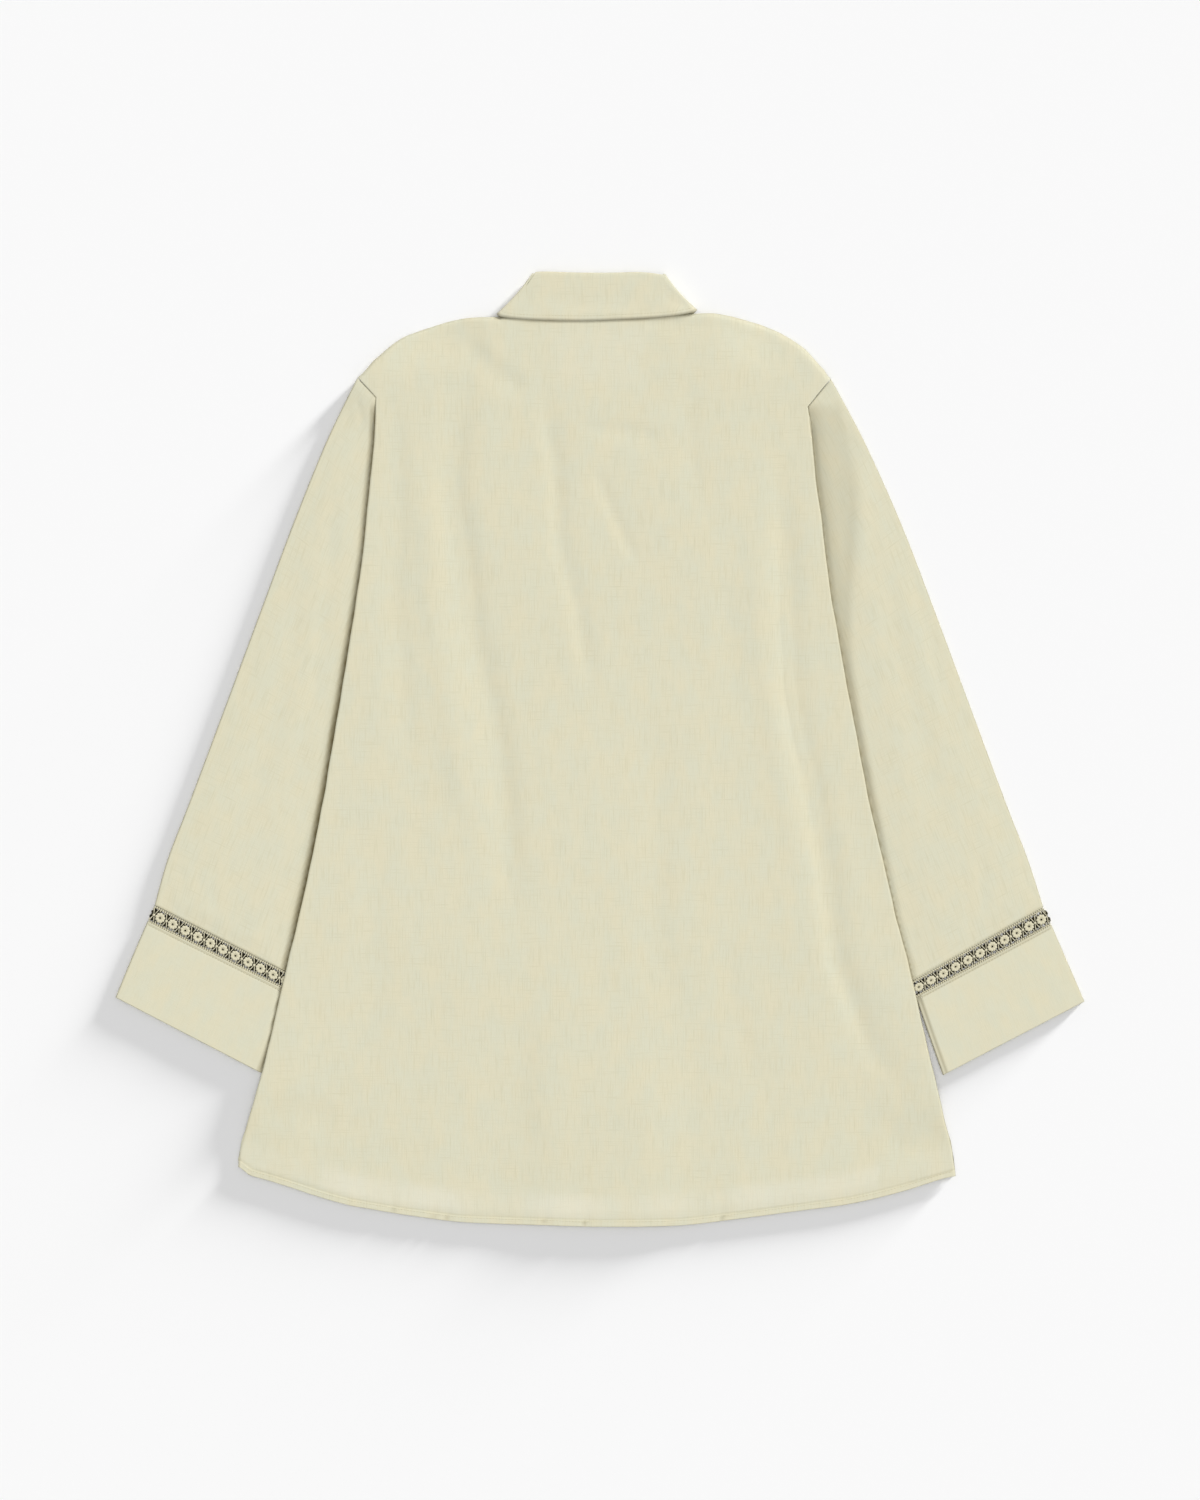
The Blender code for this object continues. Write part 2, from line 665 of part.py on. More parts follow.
def build_lace(name, rows, upper):
    """One layer of a lace insertion band, with the gap above and below each knot cut through."""
    length = math.hypot(rows[0].inner_x - rows[0].outer_x, rows[0].inner_y - rows[0].outer_y)
    width = math.hypot(rows[1].outer_x - rows[0].outer_x, rows[1].outer_y - rows[0].outer_y)
    repeats = int((length - 2.0 * LACE_END_BEND) / LACE_PITCH)
    margin = (length - repeats * LACE_PITCH) / 2.0
    bar_low = (width - LACE_BAR) / 2.0
    level_rows = (0.0, LACE_RAIL, bar_low, width - bar_low, width - LACE_RAIL, width)
    wide_pair = (LACE_GAP_WIDE, LACE_GAP_WIDE)
    gap_widths = wide_pair + (LACE_GAP_NARROW, LACE_GAP_NARROW) + wide_pair
    columns = 3 * repeats + 3

    def place(column, row):
        across = level_rows[row] / width
        if column <= 1:
            along = SEAM_GAP + column * (LACE_END_BEND - SEAM_GAP)
        elif column >= columns - 1:
            along = length - SEAM_GAP - (columns - column) * (LACE_END_BEND - SEAM_GAP)
        else:
            repeat, part = divmod(column - 2, 3)
            centre = margin + (repeat + 0.5) * LACE_PITCH
            along = centre + (-0.5, 0.5, 0.0)[part] * gap_widths[row]
            if part == 2:
                along = centre + LACE_PITCH / 2.0
        x, y = lace_place(rows, along / length, across)
        level = 0.0
        if upper:
            from_end = min(along, length - along)
            level = LAYER + (TUBE_HEIGHT - WALL - LAYER) * smooth((from_end - SEAM_GAP) / LACE_BEND_RUN)
        return x, y, level

    shape = mapped_grid(columns, len(level_rows) - 1, place)
    holes = lace_holes(shape, rows, length, margin, repeats, width)
    bmesh.ops.delete(shape, geom=holes, context="FACES")
    raise_wall(shape, WALL)
    add_object(name, shape, LACE_COTTON)


def lace_holes(shape, rows, length, margin, repeats, width):
    """Faces of a lace band that lie in a gap above or below a knot."""
    below = 0.5 * (LACE_RAIL + (width - LACE_BAR) / 2.0)
    centres = []
    for repeat in range(repeats):
        along = (margin + (repeat + 0.5) * LACE_PITCH) / length
        centres.extend(lace_place(rows, along, level / width) for level in (below, width - below))
    holes = []
    for face in shape.faces:
        middle = face.calc_center_median() / MM
        if any(math.hypot(middle.x - x, middle.y - y) < LACE_RAIL for x, y in centres):
            holes.append(face)
    return holes


def fold_arc(row, outward, low_level, high_level, steps):
    """Stations round a collar's side fold, from the low level to the high level."""
    radius = (high_level - low_level) / 2.0
    stations = []
    for step in range(1, steps):
        angle = math.pi * step / steps
        reach = radius * math.sin(angle)
        level = low_level + radius * (1.0 - math.cos(angle))
        top = (row.top_x + outward[0] * reach, row.top_y + outward[1] * reach)
        low = (row.low_x + outward[0] * reach, row.low_y + outward[1] * reach)
        stations.append((top, low, level))
    return stations


def fold_outward(row, sign):
    """Unit direction square to a side fold, pointing away from the collar."""
    run_x = row.top_x - row.low_x
    run_y = row.top_y - row.low_y
    length = math.hypot(run_x, run_y)
    return sign * abs(run_y) / length, abs(run_x) / length


def build_band(name, stations, rows, finish):
    """Strip of cloth through stations (top point, low point, level), given its wall by Solidify."""

    def place(column, row):
        top, low, level = stations[column]
        x, y = blend(low, top, row / rows)
        return x, y, level

    shape = mapped_grid(len(stations) - 1, rows, place)
    band = add_object(name, shape, finish)
    wall = band.modifiers.new("wall", "SOLIDIFY")
    wall.thickness = WALL * MM
    wall.offset = 0.0
    wall.use_even_offset = True
    wall.use_rim = True


def fall_stations():
    """Stations of the collar fall: left flap, left fold, back, right fold, right flap."""
    stations = []
    for place in spread(FLAP_STEPS)[:-1]:
        row = FallRow(*spline(FALL_LEFT_FRONT, place))
        stations.append(((row.top_x, row.top_y), (row.low_x, row.low_y), FLOOR_LEVEL))
    left = FALL_LEFT_FRONT[-1]
    stations.append(((left.top_x, left.top_y), (left.low_x, left.low_y), FLOOR_LEVEL))
    outward = fold_outward(left, -1.0)
    stations.extend(fold_arc(left, outward, FLOOR_LEVEL, FALL_BACK_LEVEL, FALL_FOLD_STEPS))
    for place in spread(FALL_BACK_STEPS):
        row = FallRow(*spline(FALL_BACK, place))
        stations.append(((row.top_x, row.top_y), (row.low_x, row.low_y), FALL_BACK_LEVEL))
    right = FALL_RIGHT_FRONT[0]
    outward = fold_outward(right, 1.0)
    stations.extend(reversed(fold_arc(right, outward, FLOOR_LEVEL, FALL_BACK_LEVEL, FALL_FOLD_STEPS)))
    for place in spread(FLAP_STEPS):
        row = FallRow(*spline(FALL_RIGHT_FRONT, place))
        stations.append(((row.top_x, row.top_y), (row.low_x, row.low_y), FLOOR_LEVEL))
    return stations


def stand_front_station(share, sign):
    """Station of the stand's front part, 0 at the side fold and 1 at the lap's edge."""
    low = front_neck(share, sign)
    seam = low[1] + SEAM_GAP + stand_clearance(1.0 - share)
    top_start = STAND_TOP if sign < 0.0 else STAND_TOP_RIGHT
    top_x = top_start.x + (-sign * LAP_HALF - top_start.x) * share
    rise = (top_start.y - front_neck(0.0, sign)[1]) * (1.0 - share) + STAND_FRONT_WIDTH * share
    level = STAND_FRONT_LEVEL
    if sign < 0.0:
        level += lap_rise(low[0])
    return (top_x, low[1] + SEAM_GAP + rise), (low[0], seam), level


def stand_clearance(nearness):
    """Extra room for the stand's side fold above the shoulder; nearness is 1 at the fold."""
    return WALL * nearness ** STAND_CLEARANCE_POWER


def stand_stations():
    """Stations of the collar stand: left front, left fold, back, right fold, right front."""
    steps = NECK_STEPS
    stations = [stand_front_station(1.0 - step / steps, -1.0) for step in range(steps + 1)]
    top, low, _ = stations[-1]
    left = FallRow(*top, *low)
    outward = fold_outward(left, -1.0)
    stations.extend(fold_arc(left, outward, STAND_FRONT_LEVEL, STAND_BACK_LEVEL, STAND_FOLD_STEPS))
    top, low, _ = stand_front_station(0.0, 1.0)
    right = FallRow(*top, *low)
    for step in range(STAND_BACK_STEPS + 1):
        share = step / STAND_BACK_STEPS
        station = blend(left, right, share)
        seam = station[3] - WALL + stand_clearance(abs(2.0 * share - 1.0))
        stations.append((station[:2], (station[2], seam), STAND_BACK_LEVEL))
    outward = fold_outward(right, 1.0)
    stations.extend(reversed(fold_arc(right, outward, STAND_FRONT_LEVEL, STAND_BACK_LEVEL, STAND_FOLD_STEPS)))
    stations.extend(stand_front_station(step / steps, 1.0) for step in range(steps + 1))
    return stations


def build_button(name, y):
    """Round button with a softened rim, its face on the floor."""
    shape = bmesh.new()
    bmesh.ops.create_cone(
        shape, cap_ends=True, segments=BUTTON_SEGMENTS, radius1=BUTTON_RADIUS * MM,
        radius2=BUTTON_RADIUS * MM, depth=BUTTON_HEIGHT * MM)
    weld = WELD_DISTANCE * MM
    rims = [edge for edge in shape.edges if abs(edge.verts[0].co.z - edge.verts[1].co.z) < weld]
    bmesh.ops.bevel(
        shape, geom=rims, offset=BUTTON_RIM * MM, offset_type="OFFSET", segments=1, profile=0.5,
        affect="EDGES", material=-1)
    bmesh.ops.translate(shape, verts=shape.verts[:], vec=(0.0, y * MM, BUTTON_HEIGHT / 2.0 * MM))
    add_object(name, shape, BUTTON_RESIN)


def main():
    """Build every piece of the shirt."""
    clear_scene()
    build_back()
    build_front("front_left", -1.0)
    build_front("front_right", 1.0)
    sleeve_places = spread(SLEEVE_STEPS)
    for side, sign, sleeve, lace, cuff in (
            ("left", -1.0, LEFT_SLEEVE, LEFT_LACE, LEFT_CUFF),
            ("right", 1.0, RIGHT_SLEEVE, RIGHT_LACE, RIGHT_CUFF)):
        build_tube(f"sleeve_{side}", sleeve, sleeve_places, sign, CLOTH, True)
        build_tube(f"cuff_{side}", cuff, spread(CUFF_STEPS), sign, CUFF_CLOTH, False)
        build_lace(f"lace_{side}_upper", lace, True)
        build_lace(f"lace_{side}_lower", lace, False)
    build_band("collar_fall", fall_stations(), FALL_ROWS, CLOTH)
    build_band("collar_stand", stand_stations(), STAND_ROWS, CLOTH)
    build_button("button_collar", COLLAR_BUTTON_AT)
    for index in range(BUTTON_COUNT):
        build_button(f"button_{index + 1}", BUTTON_TOP - BUTTON_PITCH * index)


main()
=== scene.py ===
"""Button-down cotton tunic lying flat on its front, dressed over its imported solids.

Lengths in the tables and fields are millimetres and finished meshes are metres. The origin is the
middle of the underside, +X runs to the wearer's right sleeve, +Y to the collar and +Z up from the floor.
"""
import logging
import math
from dataclasses import dataclass, field
from enum import Enum
from itertools import accumulate
from typing import Callable, NamedTuple, Sequence

import bmesh
import bpy
from mathutils import Matrix, Vector, noise

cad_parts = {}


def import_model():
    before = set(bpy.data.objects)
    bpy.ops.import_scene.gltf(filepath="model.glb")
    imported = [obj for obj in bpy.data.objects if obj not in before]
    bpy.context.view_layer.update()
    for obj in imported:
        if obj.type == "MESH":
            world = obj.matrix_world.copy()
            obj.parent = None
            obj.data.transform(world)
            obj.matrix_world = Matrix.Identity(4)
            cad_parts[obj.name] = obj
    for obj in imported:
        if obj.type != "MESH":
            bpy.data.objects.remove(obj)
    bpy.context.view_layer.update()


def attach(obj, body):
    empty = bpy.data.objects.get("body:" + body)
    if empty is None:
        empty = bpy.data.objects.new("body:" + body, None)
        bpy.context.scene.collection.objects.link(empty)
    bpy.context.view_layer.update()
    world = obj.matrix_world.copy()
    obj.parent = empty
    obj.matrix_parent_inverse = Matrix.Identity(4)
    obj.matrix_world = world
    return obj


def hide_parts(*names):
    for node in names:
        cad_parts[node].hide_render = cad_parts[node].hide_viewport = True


MM = 0.001
LOG = logging.getLogger("tunic")

# The solids' wall, the gap between their layers at a seam, and what follows from the two.
WALL = 1.1
SEAM_GAP = 0.3
LAYER = WALL + SEAM_GAP
FLOOR_LEVEL = WALL / 2.0
CLOTH_THICKNESS = 0.6
DOUBLED_THICKNESS = 1.0
TUBE_HEIGHT = 3.2
LACE_PITCH = 12.3
LAP_HALF = 15.0
BUTTONS_AT = (328.0, 275.0, 190.0, 105.0, 20.0, -65.0, -150.0, -235.0)
FRONT_NECK_AT = 311.0
SHOULDER_TIP_RUN = 24.0
HEM_DEPTH = 5.5
# Ends of a tube's grid closer than this are one point.
WELD = 0.002
# How far buttons and arms lift the panels over them, where each lift is full and how it eases off.
BUTTON_LIFT = 2.3
ARM_LIFT = 3.5
ARM_MARGIN = 15.0
LIFT_EASE = 60.0
LAP_LIFT_HALF = 20.0
LAP_LIFT_FROM = -400.0
LAP_LIFT_EASE = 100.0
LAP_RISE_FROM = -75.0
LAP_RISE_EASE = 40.0
NECK_HALF = 94.0
NECK_LOW = 285.0
NECK_EASE = 45.0

Point2 = tuple[float, float]
Pair = tuple[float, float]
Material, Object = bpy.types.Material, bpy.types.Object
Tree, Socket = bpy.types.NodeTree, bpy.types.NodeSocket
BMesh = bmesh.types.BMesh


class Side(Enum):
    """Which half of the tunic a piece belongs to, as seen from above."""

    LEFT = -1.0
    RIGHT = 1.0

    @property
    def word(self) -> str:
        """The side's word in the node names."""
        return self.name.lower()


class Layer(Enum):
    """Which layer of a flattened tube a lace band is."""

    UPPER = "upper"
    LOWER = "lower"


class SideRow(NamedTuple):
    """Left and right edge points of the body at one height."""

    left_x: float
    left_y: float
    right_x: float
    right_y: float


class SleeveRow(NamedTuple):
    """Section across an arm, from its outer fold to its hidden inner fold."""

    outer_x: float
    outer_y: float
    inner_x: float
    inner_y: float


class FallRow(NamedTuple):
    """Station round the collar: its folded top edge and its free lower edge."""

    top_x: float
    top_y: float
    low_x: float
    low_y: float


class ClothPoint(NamedTuple):
    """A point of cloth: its place and flat coordinates in mm, its painted shade, and how thin it lies, which
    paints light where the floor would show through.
    """

    x: float
    y: float
    z: float
    u: float
    v: float
    shade: float = 0.0
    thin: float = 0.0


class Crease(NamedTuple):
    """A soft trough along a run of points; a negative depth is a ridge and lean narrows one flank."""

    depth: float
    half_width: float
    lean: float
    points: tuple[Point2, ...]


BODY_SIDES = tuple(SideRow(*row) for row in (
    (-318, -366.5, 312.8, -374.6), (-316.5, -352, 309.8, -352), (-309.4, -325.6, 303.1, -325.6),
    (-299.1, -290.4, 295.2, -290.4), (-290, -255.2, 286.4, -255.2), (-281.2, -215.6, 277.6, -215.6),
    (-274.1, -184.8, 270.6, -184.8), (-265.3, -149.6, 260.9, -149.6), (-257.4, -114.4, 253, -114.4),
    (-243.3, -44, 236.3, -44), (-228.4, 44, 219.6, 44), (-221.3, 88, 211.6, 88),
    (-214.3, 132, 203.7, 132), (-209, 167.2, 198.9, 167.2), (-205.5, 202.4, 194.9, 202.4),
    (-202, 237.6, 189.9, 237.6), (-198.4, 272.8, 186.6, 272.8), (-196.7, 309.8, 182.5, 301.5),
))
SHOULDER_TIPS = SideRow(-213.0, 327.4, 202.8, 326.5)
HEM: tuple[Point2, ...] = (
    (-318, -366.5), (-308, -374), (-281.6, -381.7), (-246.4, -393), (-220, -400.5),
    (-176, -408), (-123.2, -415), (-44, -417.8), (0, -419), (70.4, -418),
    (123.2, -412), (176, -405.1), (220, -399), (264, -388.6), (312.8, -374.6),
)
LEFT_SHOULDER: tuple[Point2, ...] = (
    (-213, 327.4), (-198, 343.2), (-176.1, 360.8), (-155.8, 369.6), (-124.5, 378.4),
    (-97, 380.4), (-86, 380),
)
RIGHT_SHOULDER: tuple[Point2, ...] = (
    (80.5, 383.4), (105.6, 382.8), (140.8, 374.2), (161, 365.2), (180.6, 352),
    (196.7, 334.4), (202.8, 326.5),
)


def sleeve_rows(*rows: Sequence[float]) -> tuple[SleeveRow, ...]:
    """Sections of an arm from their four numbers."""
    return tuple(SleeveRow(*row) for row in rows)


SLEEVES = {
    Side.LEFT: sleeve_rows(
        (-213.4, 327, -124, 236), (-239.9, 272.8, -130, 172), (-268.5, 202.4, -140, 104),
        (-294.8, 132, -156, 40), (-327.4, 44, -185, -35), (-360.3, -44, -216, -112),
        (-380, -95.5, -244, -162), (-391.6, -136.4, -265.8, -200.3)),
    Side.RIGHT: sleeve_rows(
        (203.2, 326, 122, 228), (231.7, 272.8, 126, 168), (263.4, 202.4, 137, 102),
        (290.7, 132, 153, 40), (323.4, 44, 182, -35), (356, -44, 214, -112),
        (376, -95.5, 244, -162), (389.8, -138.2, 271.9, -205)),
}
LACE_ROWS = {
    Side.LEFT: sleeve_rows(
        (-391.8, -136.8, -266, -200.7), (-397.8, -150.5, -270.7, -213.6)),
    Side.RIGHT: sleeve_rows(
        (390, -138.6, 272.1, -205.4), (396.9, -153.6, 277.6, -217.4)),
}
CUFF_ROWS = {
    Side.LEFT: sleeve_rows(
        (-398, -150.9, -270.9, -214), (-412.3, -184, -284, -248),
        (-426.0, -217.5, -297.4, -284.2)),
    Side.RIGHT: sleeve_rows(
        (397.1, -154, 277.8, -217.8), (411.6, -187.6, 289, -250.5), (426, -221, 301.5, -285.8)),
}


def smooth(value: float) -> float:
    """Ease from 0 to 1 as the value goes from 0 to 1, with level ends."""
    clamped = max(0.0, min(1.0, value))
    return clamped * clamped * (3.0 - 2.0 * clamped)


def ease_in(value: float, start: float, length: float) -> float:
    """0 up to a start, easing to 1 over the length after it."""
    return smooth((value - start) / length)


def ease_out(value: float, start: float, length: float) -> float:
    """1 up to a start, easing to 0 over the length after it."""
    return smooth(1.0 - (value - start) / length)


def bell(distance: float, width: float) -> float:
    """1 at no distance, falling softly to nothing over about two widths."""
    return math.exp(-(distance / width) ** 2)


def blend(start: Sequence[float], end: Sequence[float], share: float) -> tuple[float, ...]:
    """Point a given share of the way from start to end."""
    return tuple(a + (b - a) * share for a, b in zip(start, end))


def spline(points: Sequence[Sequence[float]], place: float) -> tuple[float, ...]:
    """Read a Catmull-Rom curve.

    Args:
        points: the curve's points, of any width.
        place: 0 at the first point, 1 at the second and so on.

    Returns:
        The curve's point there.
    """
    last = len(points) - 1
    index = max(0, min(int(place), last - 1))
    share = place - index
    rows = (points[max(index - 1, 0)], points[index], points[index + 1], points[min(index + 2, last)])
    result = []
    for p0, p1, p2, p3 in zip(*rows):
        linear = 0.5 * (p2 - p0)
        square = p0 - 2.5 * p1 + 2.0 * p2 - 0.5 * p3
        cube = 0.5 * (p3 - p0) + 1.5 * (p1 - p2)
        result.append(p1 + share * (linear + share * (square + share * cube)))
    return tuple(result)


def height_at(points: Sequence[Point2], x: float) -> float:
    """Y of a curve whose points run from left to right, read at x."""
    if x <= points[0][0]:
        return points[0][1]
    for index in range(len(points) - 1):
        if x <= points[index + 1][0]:
            share = (x - points[index][0]) / (points[index + 1][0] - points[index][0])
            return spline(points, index + share)[1]
    return points[-1][1]


def distance_to_path(x: float, y: float, path: Sequence[Point2]) -> float:
    """Shortest distance from a point to a chain of straight runs."""
    nearest = float("inf")
    for (ax, ay), (bx, by) in zip(path, path[1:]):
        length = (bx - ax) ** 2 + (by - ay) ** 2
        share = max(0.0, min(1.0, ((x - ax) * (bx - ax) + (y - ay) * (by - ay)) / length))
        nearest = min(nearest, math.hypot(x - ax - (bx - ax) * share, y - ay - (by - ay) * share))
    return nearest


def is_inside(x: float, y: float, outline: Sequence[Point2]) -> bool:
    """True where a point lies inside a closed outline."""
    inside = False
    for (ax, ay), (bx, by) in zip(outline, list(outline[1:]) + [outline[0]]):
        if (ay > y) != (by > y) and x < ax + (y - ay) * (bx - ax) / (by - ay):
            inside = not inside
    return inside


def patch_point(
        bottom: Sequence[float], top: Sequence[float], left: Sequence[float], right: Sequence[float],
        corners: Sequence[Sequence[float]], share: Point2) -> Point2:
    """Blend a four-sided patch from its edges (a Coons patch).

    Args:
        bottom, top: the patch's lower and upper edge points in this column.
        left, right: its left and right edge points in this row.
        corners: lower left, lower right, upper left and upper right.
        share: how far across and up the point is, from 0 to 1.

    Returns:
        The plan point.
    """
    across, up = share
    result = []
    for axis in range(2):
        sides = (1.0 - across) * left[axis] + across * right[axis]
        ends = (1.0 - up) * bottom[axis] + up * top[axis]
        low = (1.0 - across) * corners[0][axis] + across * corners[1][axis]
        high = (1.0 - across) * corners[2][axis] + across * corners[3][axis]
        result.append(sides + ends - (1.0 - up) * low - up * high)
    return result[0], result[1]


def section_point(row: Sequence[float], share: float) -> Point2:
    """Plan point across an arm's section, 0 at the outer fold and 1 at the inner fold."""
    return row[0] + (row[2] - row[0]) * share, row[1] + (row[3] - row[1]) * share


def section_width(row: Sequence[float]) -> float:
    """Width of an arm laid flat at a section."""
    return math.hypot(row[2] - row[0], row[3] - row[1])


def distances_down(sections: Sequence[Sequence[float]]) -> list[float]:
    """Distance down a tube of each of its sections, along their middles."""
    middles = [section_point(section, 0.5) for section in sections]
    return list(accumulate(map(math.dist, middles, middles[1:]), initial=0.0))


def undulation(x: float, y: float, scale: float, seed: float) -> float:
    """Smooth unevenness between about -1 and 1 with the given size of bump in mm."""
    return noise.noise(Vector((x / scale, y / scale, seed)))


class Ripple(NamedTuple):
    """Smooth unevenness: its height, the size of its bumps, how y is squeezed to stretch them, its seed."""

    height: float
    size: float
    squeeze: float
    seed: float

    def at(self, x: float, y: float) -> float:
        """Its height at a plan point."""
        return self.height * undulation(x, y * self.squeeze, self.size, self.seed)


class Band(NamedTuple):
    """Something beside a line: its strength, how far it stays full, and over how much it eases off."""

    strength: float
    full: float
    ease: float

    def at(self, distance: float) -> float:
        """Its strength at a distance from the line."""
        return self.strength * ease_out(distance, self.full, self.ease)


class Groove(NamedTuple):
    """A soft line beside an edge: its depth, its distance from the edge and its width."""

    depth: float
    place: float
    width: float

    def at(self, distance: float) -> float:
        """Its depth at a distance from the edge."""
        return self.depth * bell(distance - self.place, self.width)


class CreaseMap:
    """Height that a set of creases adds to a piece of cloth."""

    # Half-widths beyond which a crease adds nothing, and the share over which each end fades out.
    REACH = 2.6
    FADE = 0.22

    def __init__(self, creases: Sequence[Crease]) -> None:
        """Prepare the runs of every crease with the box that each can reach."""
        self.runs = []
        for crease in creases:
            reach = self.REACH * crease.half_width
            xs = [point[0] for point in crease.points]
            ys = [point[1] for point in crease.points]
            box = (min(xs) - reach, max(xs) + reach, min(ys) - reach, max(ys) + reach)
            lengths = [math.dist(a, b) for a, b in zip(crease.points, crease.points[1:])]
            self.runs.append((crease, box, lengths, sum(lengths)))

    def height(self, x: float, y: float) -> float:
        """Sum of the creases at a plan point, below zero in a trough."""
        total = 0.0
        for crease, box, lengths, whole in self.runs:
            if box[0] < x < box[1] and box[2] < y < box[3]:
                total += self.one_height(x, y, crease, lengths, whole)
        return total

    def one_height(
            self, x: float, y: float, crease: Crease, lengths: Sequence[float], whole: float) -> float:
        """Height of one crease at a plan point, fading out towards both of its ends."""
        nearest = float("inf")
        along = turn = passed = 0.0
        for (ax, ay), (bx, by), length in zip(crease.points, crease.points[1:], lengths):
            run_x, run_y = bx - ax, by - ay
            share = max(0.0, min(1.0, ((x - ax) * run_x + (y - ay) * run_y) / (length * length)))
            off_x, off_y = x - ax - run_x * share, y - ay - run_y * share
            away = math.hypot(off_x, off_y)
            if away < nearest:
                nearest = away
                along = (passed + share * length) / whole
                turn = run_x * off_y - run_y * off_x
            passed += length
        width = crease.half_width * (crease.lean if turn < 0.0 else 1.0)
        ends = smooth(along / self.FADE) * smooth((1.0 - along) / self.FADE)
        return -crease.depth * ends * bell(nearest, width)


def arm_outline(side: Side) -> list[Point2]:
    """Outline of a whole arm on the floor, from the armhole to the cuff's edge."""
    rows = SLEEVES[side] + CUFF_ROWS[side]
    inner = [(row.inner_x, row.inner_y) for row in rows]
    outer = [(row.outer_x, row.outer_y) for row in rows]
    return inner + outer[::-1]


ARM_OUTLINES = {side: arm_outline(side) for side in Side}


def arm_lift(x: float, y: float) -> float:
    """How far a panel is lifted by the arm under it."""
    outline = ARM_OUTLINES[Side.LEFT if x < 0.0 else Side.RIGHT]
    away = 0.0 if is_inside(x, y, outline) else distance_to_path(x, y, outline + outline[:1])
    return ARM_LIFT * ease_out(away, ARM_MARGIN, LIFT_EASE)


def neck_zone(x: float, y: float) -> float:
    """1 over the collar's front flaps, easing to 0 around them."""
    away = math.hypot(max(0.0, abs(x) - NECK_HALF), max(0.0, NECK_LOW - y))
    return ease_out(away, 0.0, NECK_EASE)


def lap_zone(x: float, y: float, widen: float) -> float:
    """1 over the buttoned lap, easing to 0 beside it and towards the hem."""
    return ease_out(abs(x), LAP_LIFT_HALF + widen, LIFT_EASE) * ease_in(y, LAP_LIFT_FROM, LAP_LIFT_EASE)


def lap_rise(x: float) -> float:
    """How far the lap's upper layer stands over its lower one."""
    return LAYER * ease_in(x, LAP_RISE_FROM, LAP_RISE_EASE)


def front_level(x: float, y: float, side: Side) -> float:
    """Height of the middle of a front's solid; the left one is the upper layer of the lap."""
    level = FLOOR_LEVEL + arm_lift(x, y) + BUTTON_LIFT * max(lap_zone(x, y, 0.0), neck_zone(x, y))
    return level + lap_rise(x) if side is Side.LEFT else level


def side_line(side: Side) -> list[Point2]:
    """The body's side edge from the hem to the shoulder tip."""
    if side is Side.LEFT:
        return [(row.left_x, row.left_y) for row in BODY_SIDES + (SHOULDER_TIPS,)]
    return [(row.right_x, row.right_y) for row in BODY_SIDES + (SHOULDER_TIPS,)]


SIDE_LINES = {side: side_line(side) for side in Side}


def back_top(x: float) -> float:
    """Y of the body's top edge: shoulder, neck seam, shoulder."""
    if x < LEFT_SHOULDER[-1][0]:
        return height_at(LEFT_SHOULDER, x)
    if x > RIGHT_SHOULDER[0][0]:
        return height_at(RIGHT_SHOULDER, x)
    share = (x - LEFT_SHOULDER[-1][0]) / (RIGHT_SHOULDER[0][0] - LEFT_SHOULDER[-1][0])
    return LEFT_SHOULDER[-1][1] + (RIGHT_SHOULDER[0][1] - LEFT_SHOULDER[-1][1]) * share


def side_points(spacing: float) -> list[tuple[Point2, Point2]]:
    """Left and right edge points of the body from the hem to the shoulder tips, evenly spaced."""
    points = []
    for index, (low, high) in enumerate(zip(BODY_SIDES, BODY_SIDES[1:])):
        count = max(1, round((high.left_y - low.left_y) / spacing))
        points.extend(spline(BODY_SIDES, index + step / count) for step in range(count))
    steps = max(2, round(SHOULDER_TIP_RUN / spacing))
    points.extend(blend(BODY_SIDES[-1], SHOULDER_TIPS, step / steps) for step in range(steps + 1))
    return [((p[0], p[1]), (p[2], p[3])) for p in points]


Place = Callable[[int, int], ClothPoint]


def mapped_cloth(columns: int, rows: int, place: Place) -> BMesh:
    """Grid whose vertices are moved to the places a function gives.

    Args:
        columns: faces across.
        rows: faces up.
        place: gives the cloth point of a column and row.

    Returns:
        The grid, with a UV map in metres of cloth and the attributes that the cloth finishes read.
    """
    shape = bmesh.new()
    bmesh.ops.create_grid(shape, x_segments=columns, y_segments=rows, size=0.5)
    shade = shape.verts.layers.float.new("shade")
    thin = shape.verts.layers.float.new("thin")
    flat = shape.loops.layers.uv.new("cloth")
    for vertex in shape.verts:
        column = round((vertex.co.x + 0.5) * columns)
        row = round((vertex.co.y + 0.5) * rows)
        point = place(column, row)
        vertex.co = (point.x * MM, point.y * MM, point.z * MM)
        vertex[shade] = point.shade
        vertex[thin] = point.thin
        for loop in vertex.link_loops:
            loop[flat].uv = (point.u * MM, point.v * MM)
    return shape


def add_piece(
        name: str, shape: BMesh, material: Material,
        nodes: Sequence[str] = ()) -> Object:
    """Turn a bmesh into a named piece that rides on the body.

    Args:
        name: the piece's name.
        shape: its mesh, freed here.
        material: its finish.
        nodes: the solids it stands for.

    Returns:
        The piece.
    """
    mesh = bpy.data.meshes.new(name)
    shape.to_mesh(mesh)
    shape.free()
    mesh.materials.append(material)
    mesh.shade_smooth()
    piece = bpy.data.objects.new(name, mesh)
    bpy.context.scene.collection.objects.link(piece)
    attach(piece, "root")
    if nodes:
        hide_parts(*nodes)
    LOG.info("%s: %d vertices", name, len(mesh.vertices))
    return piece


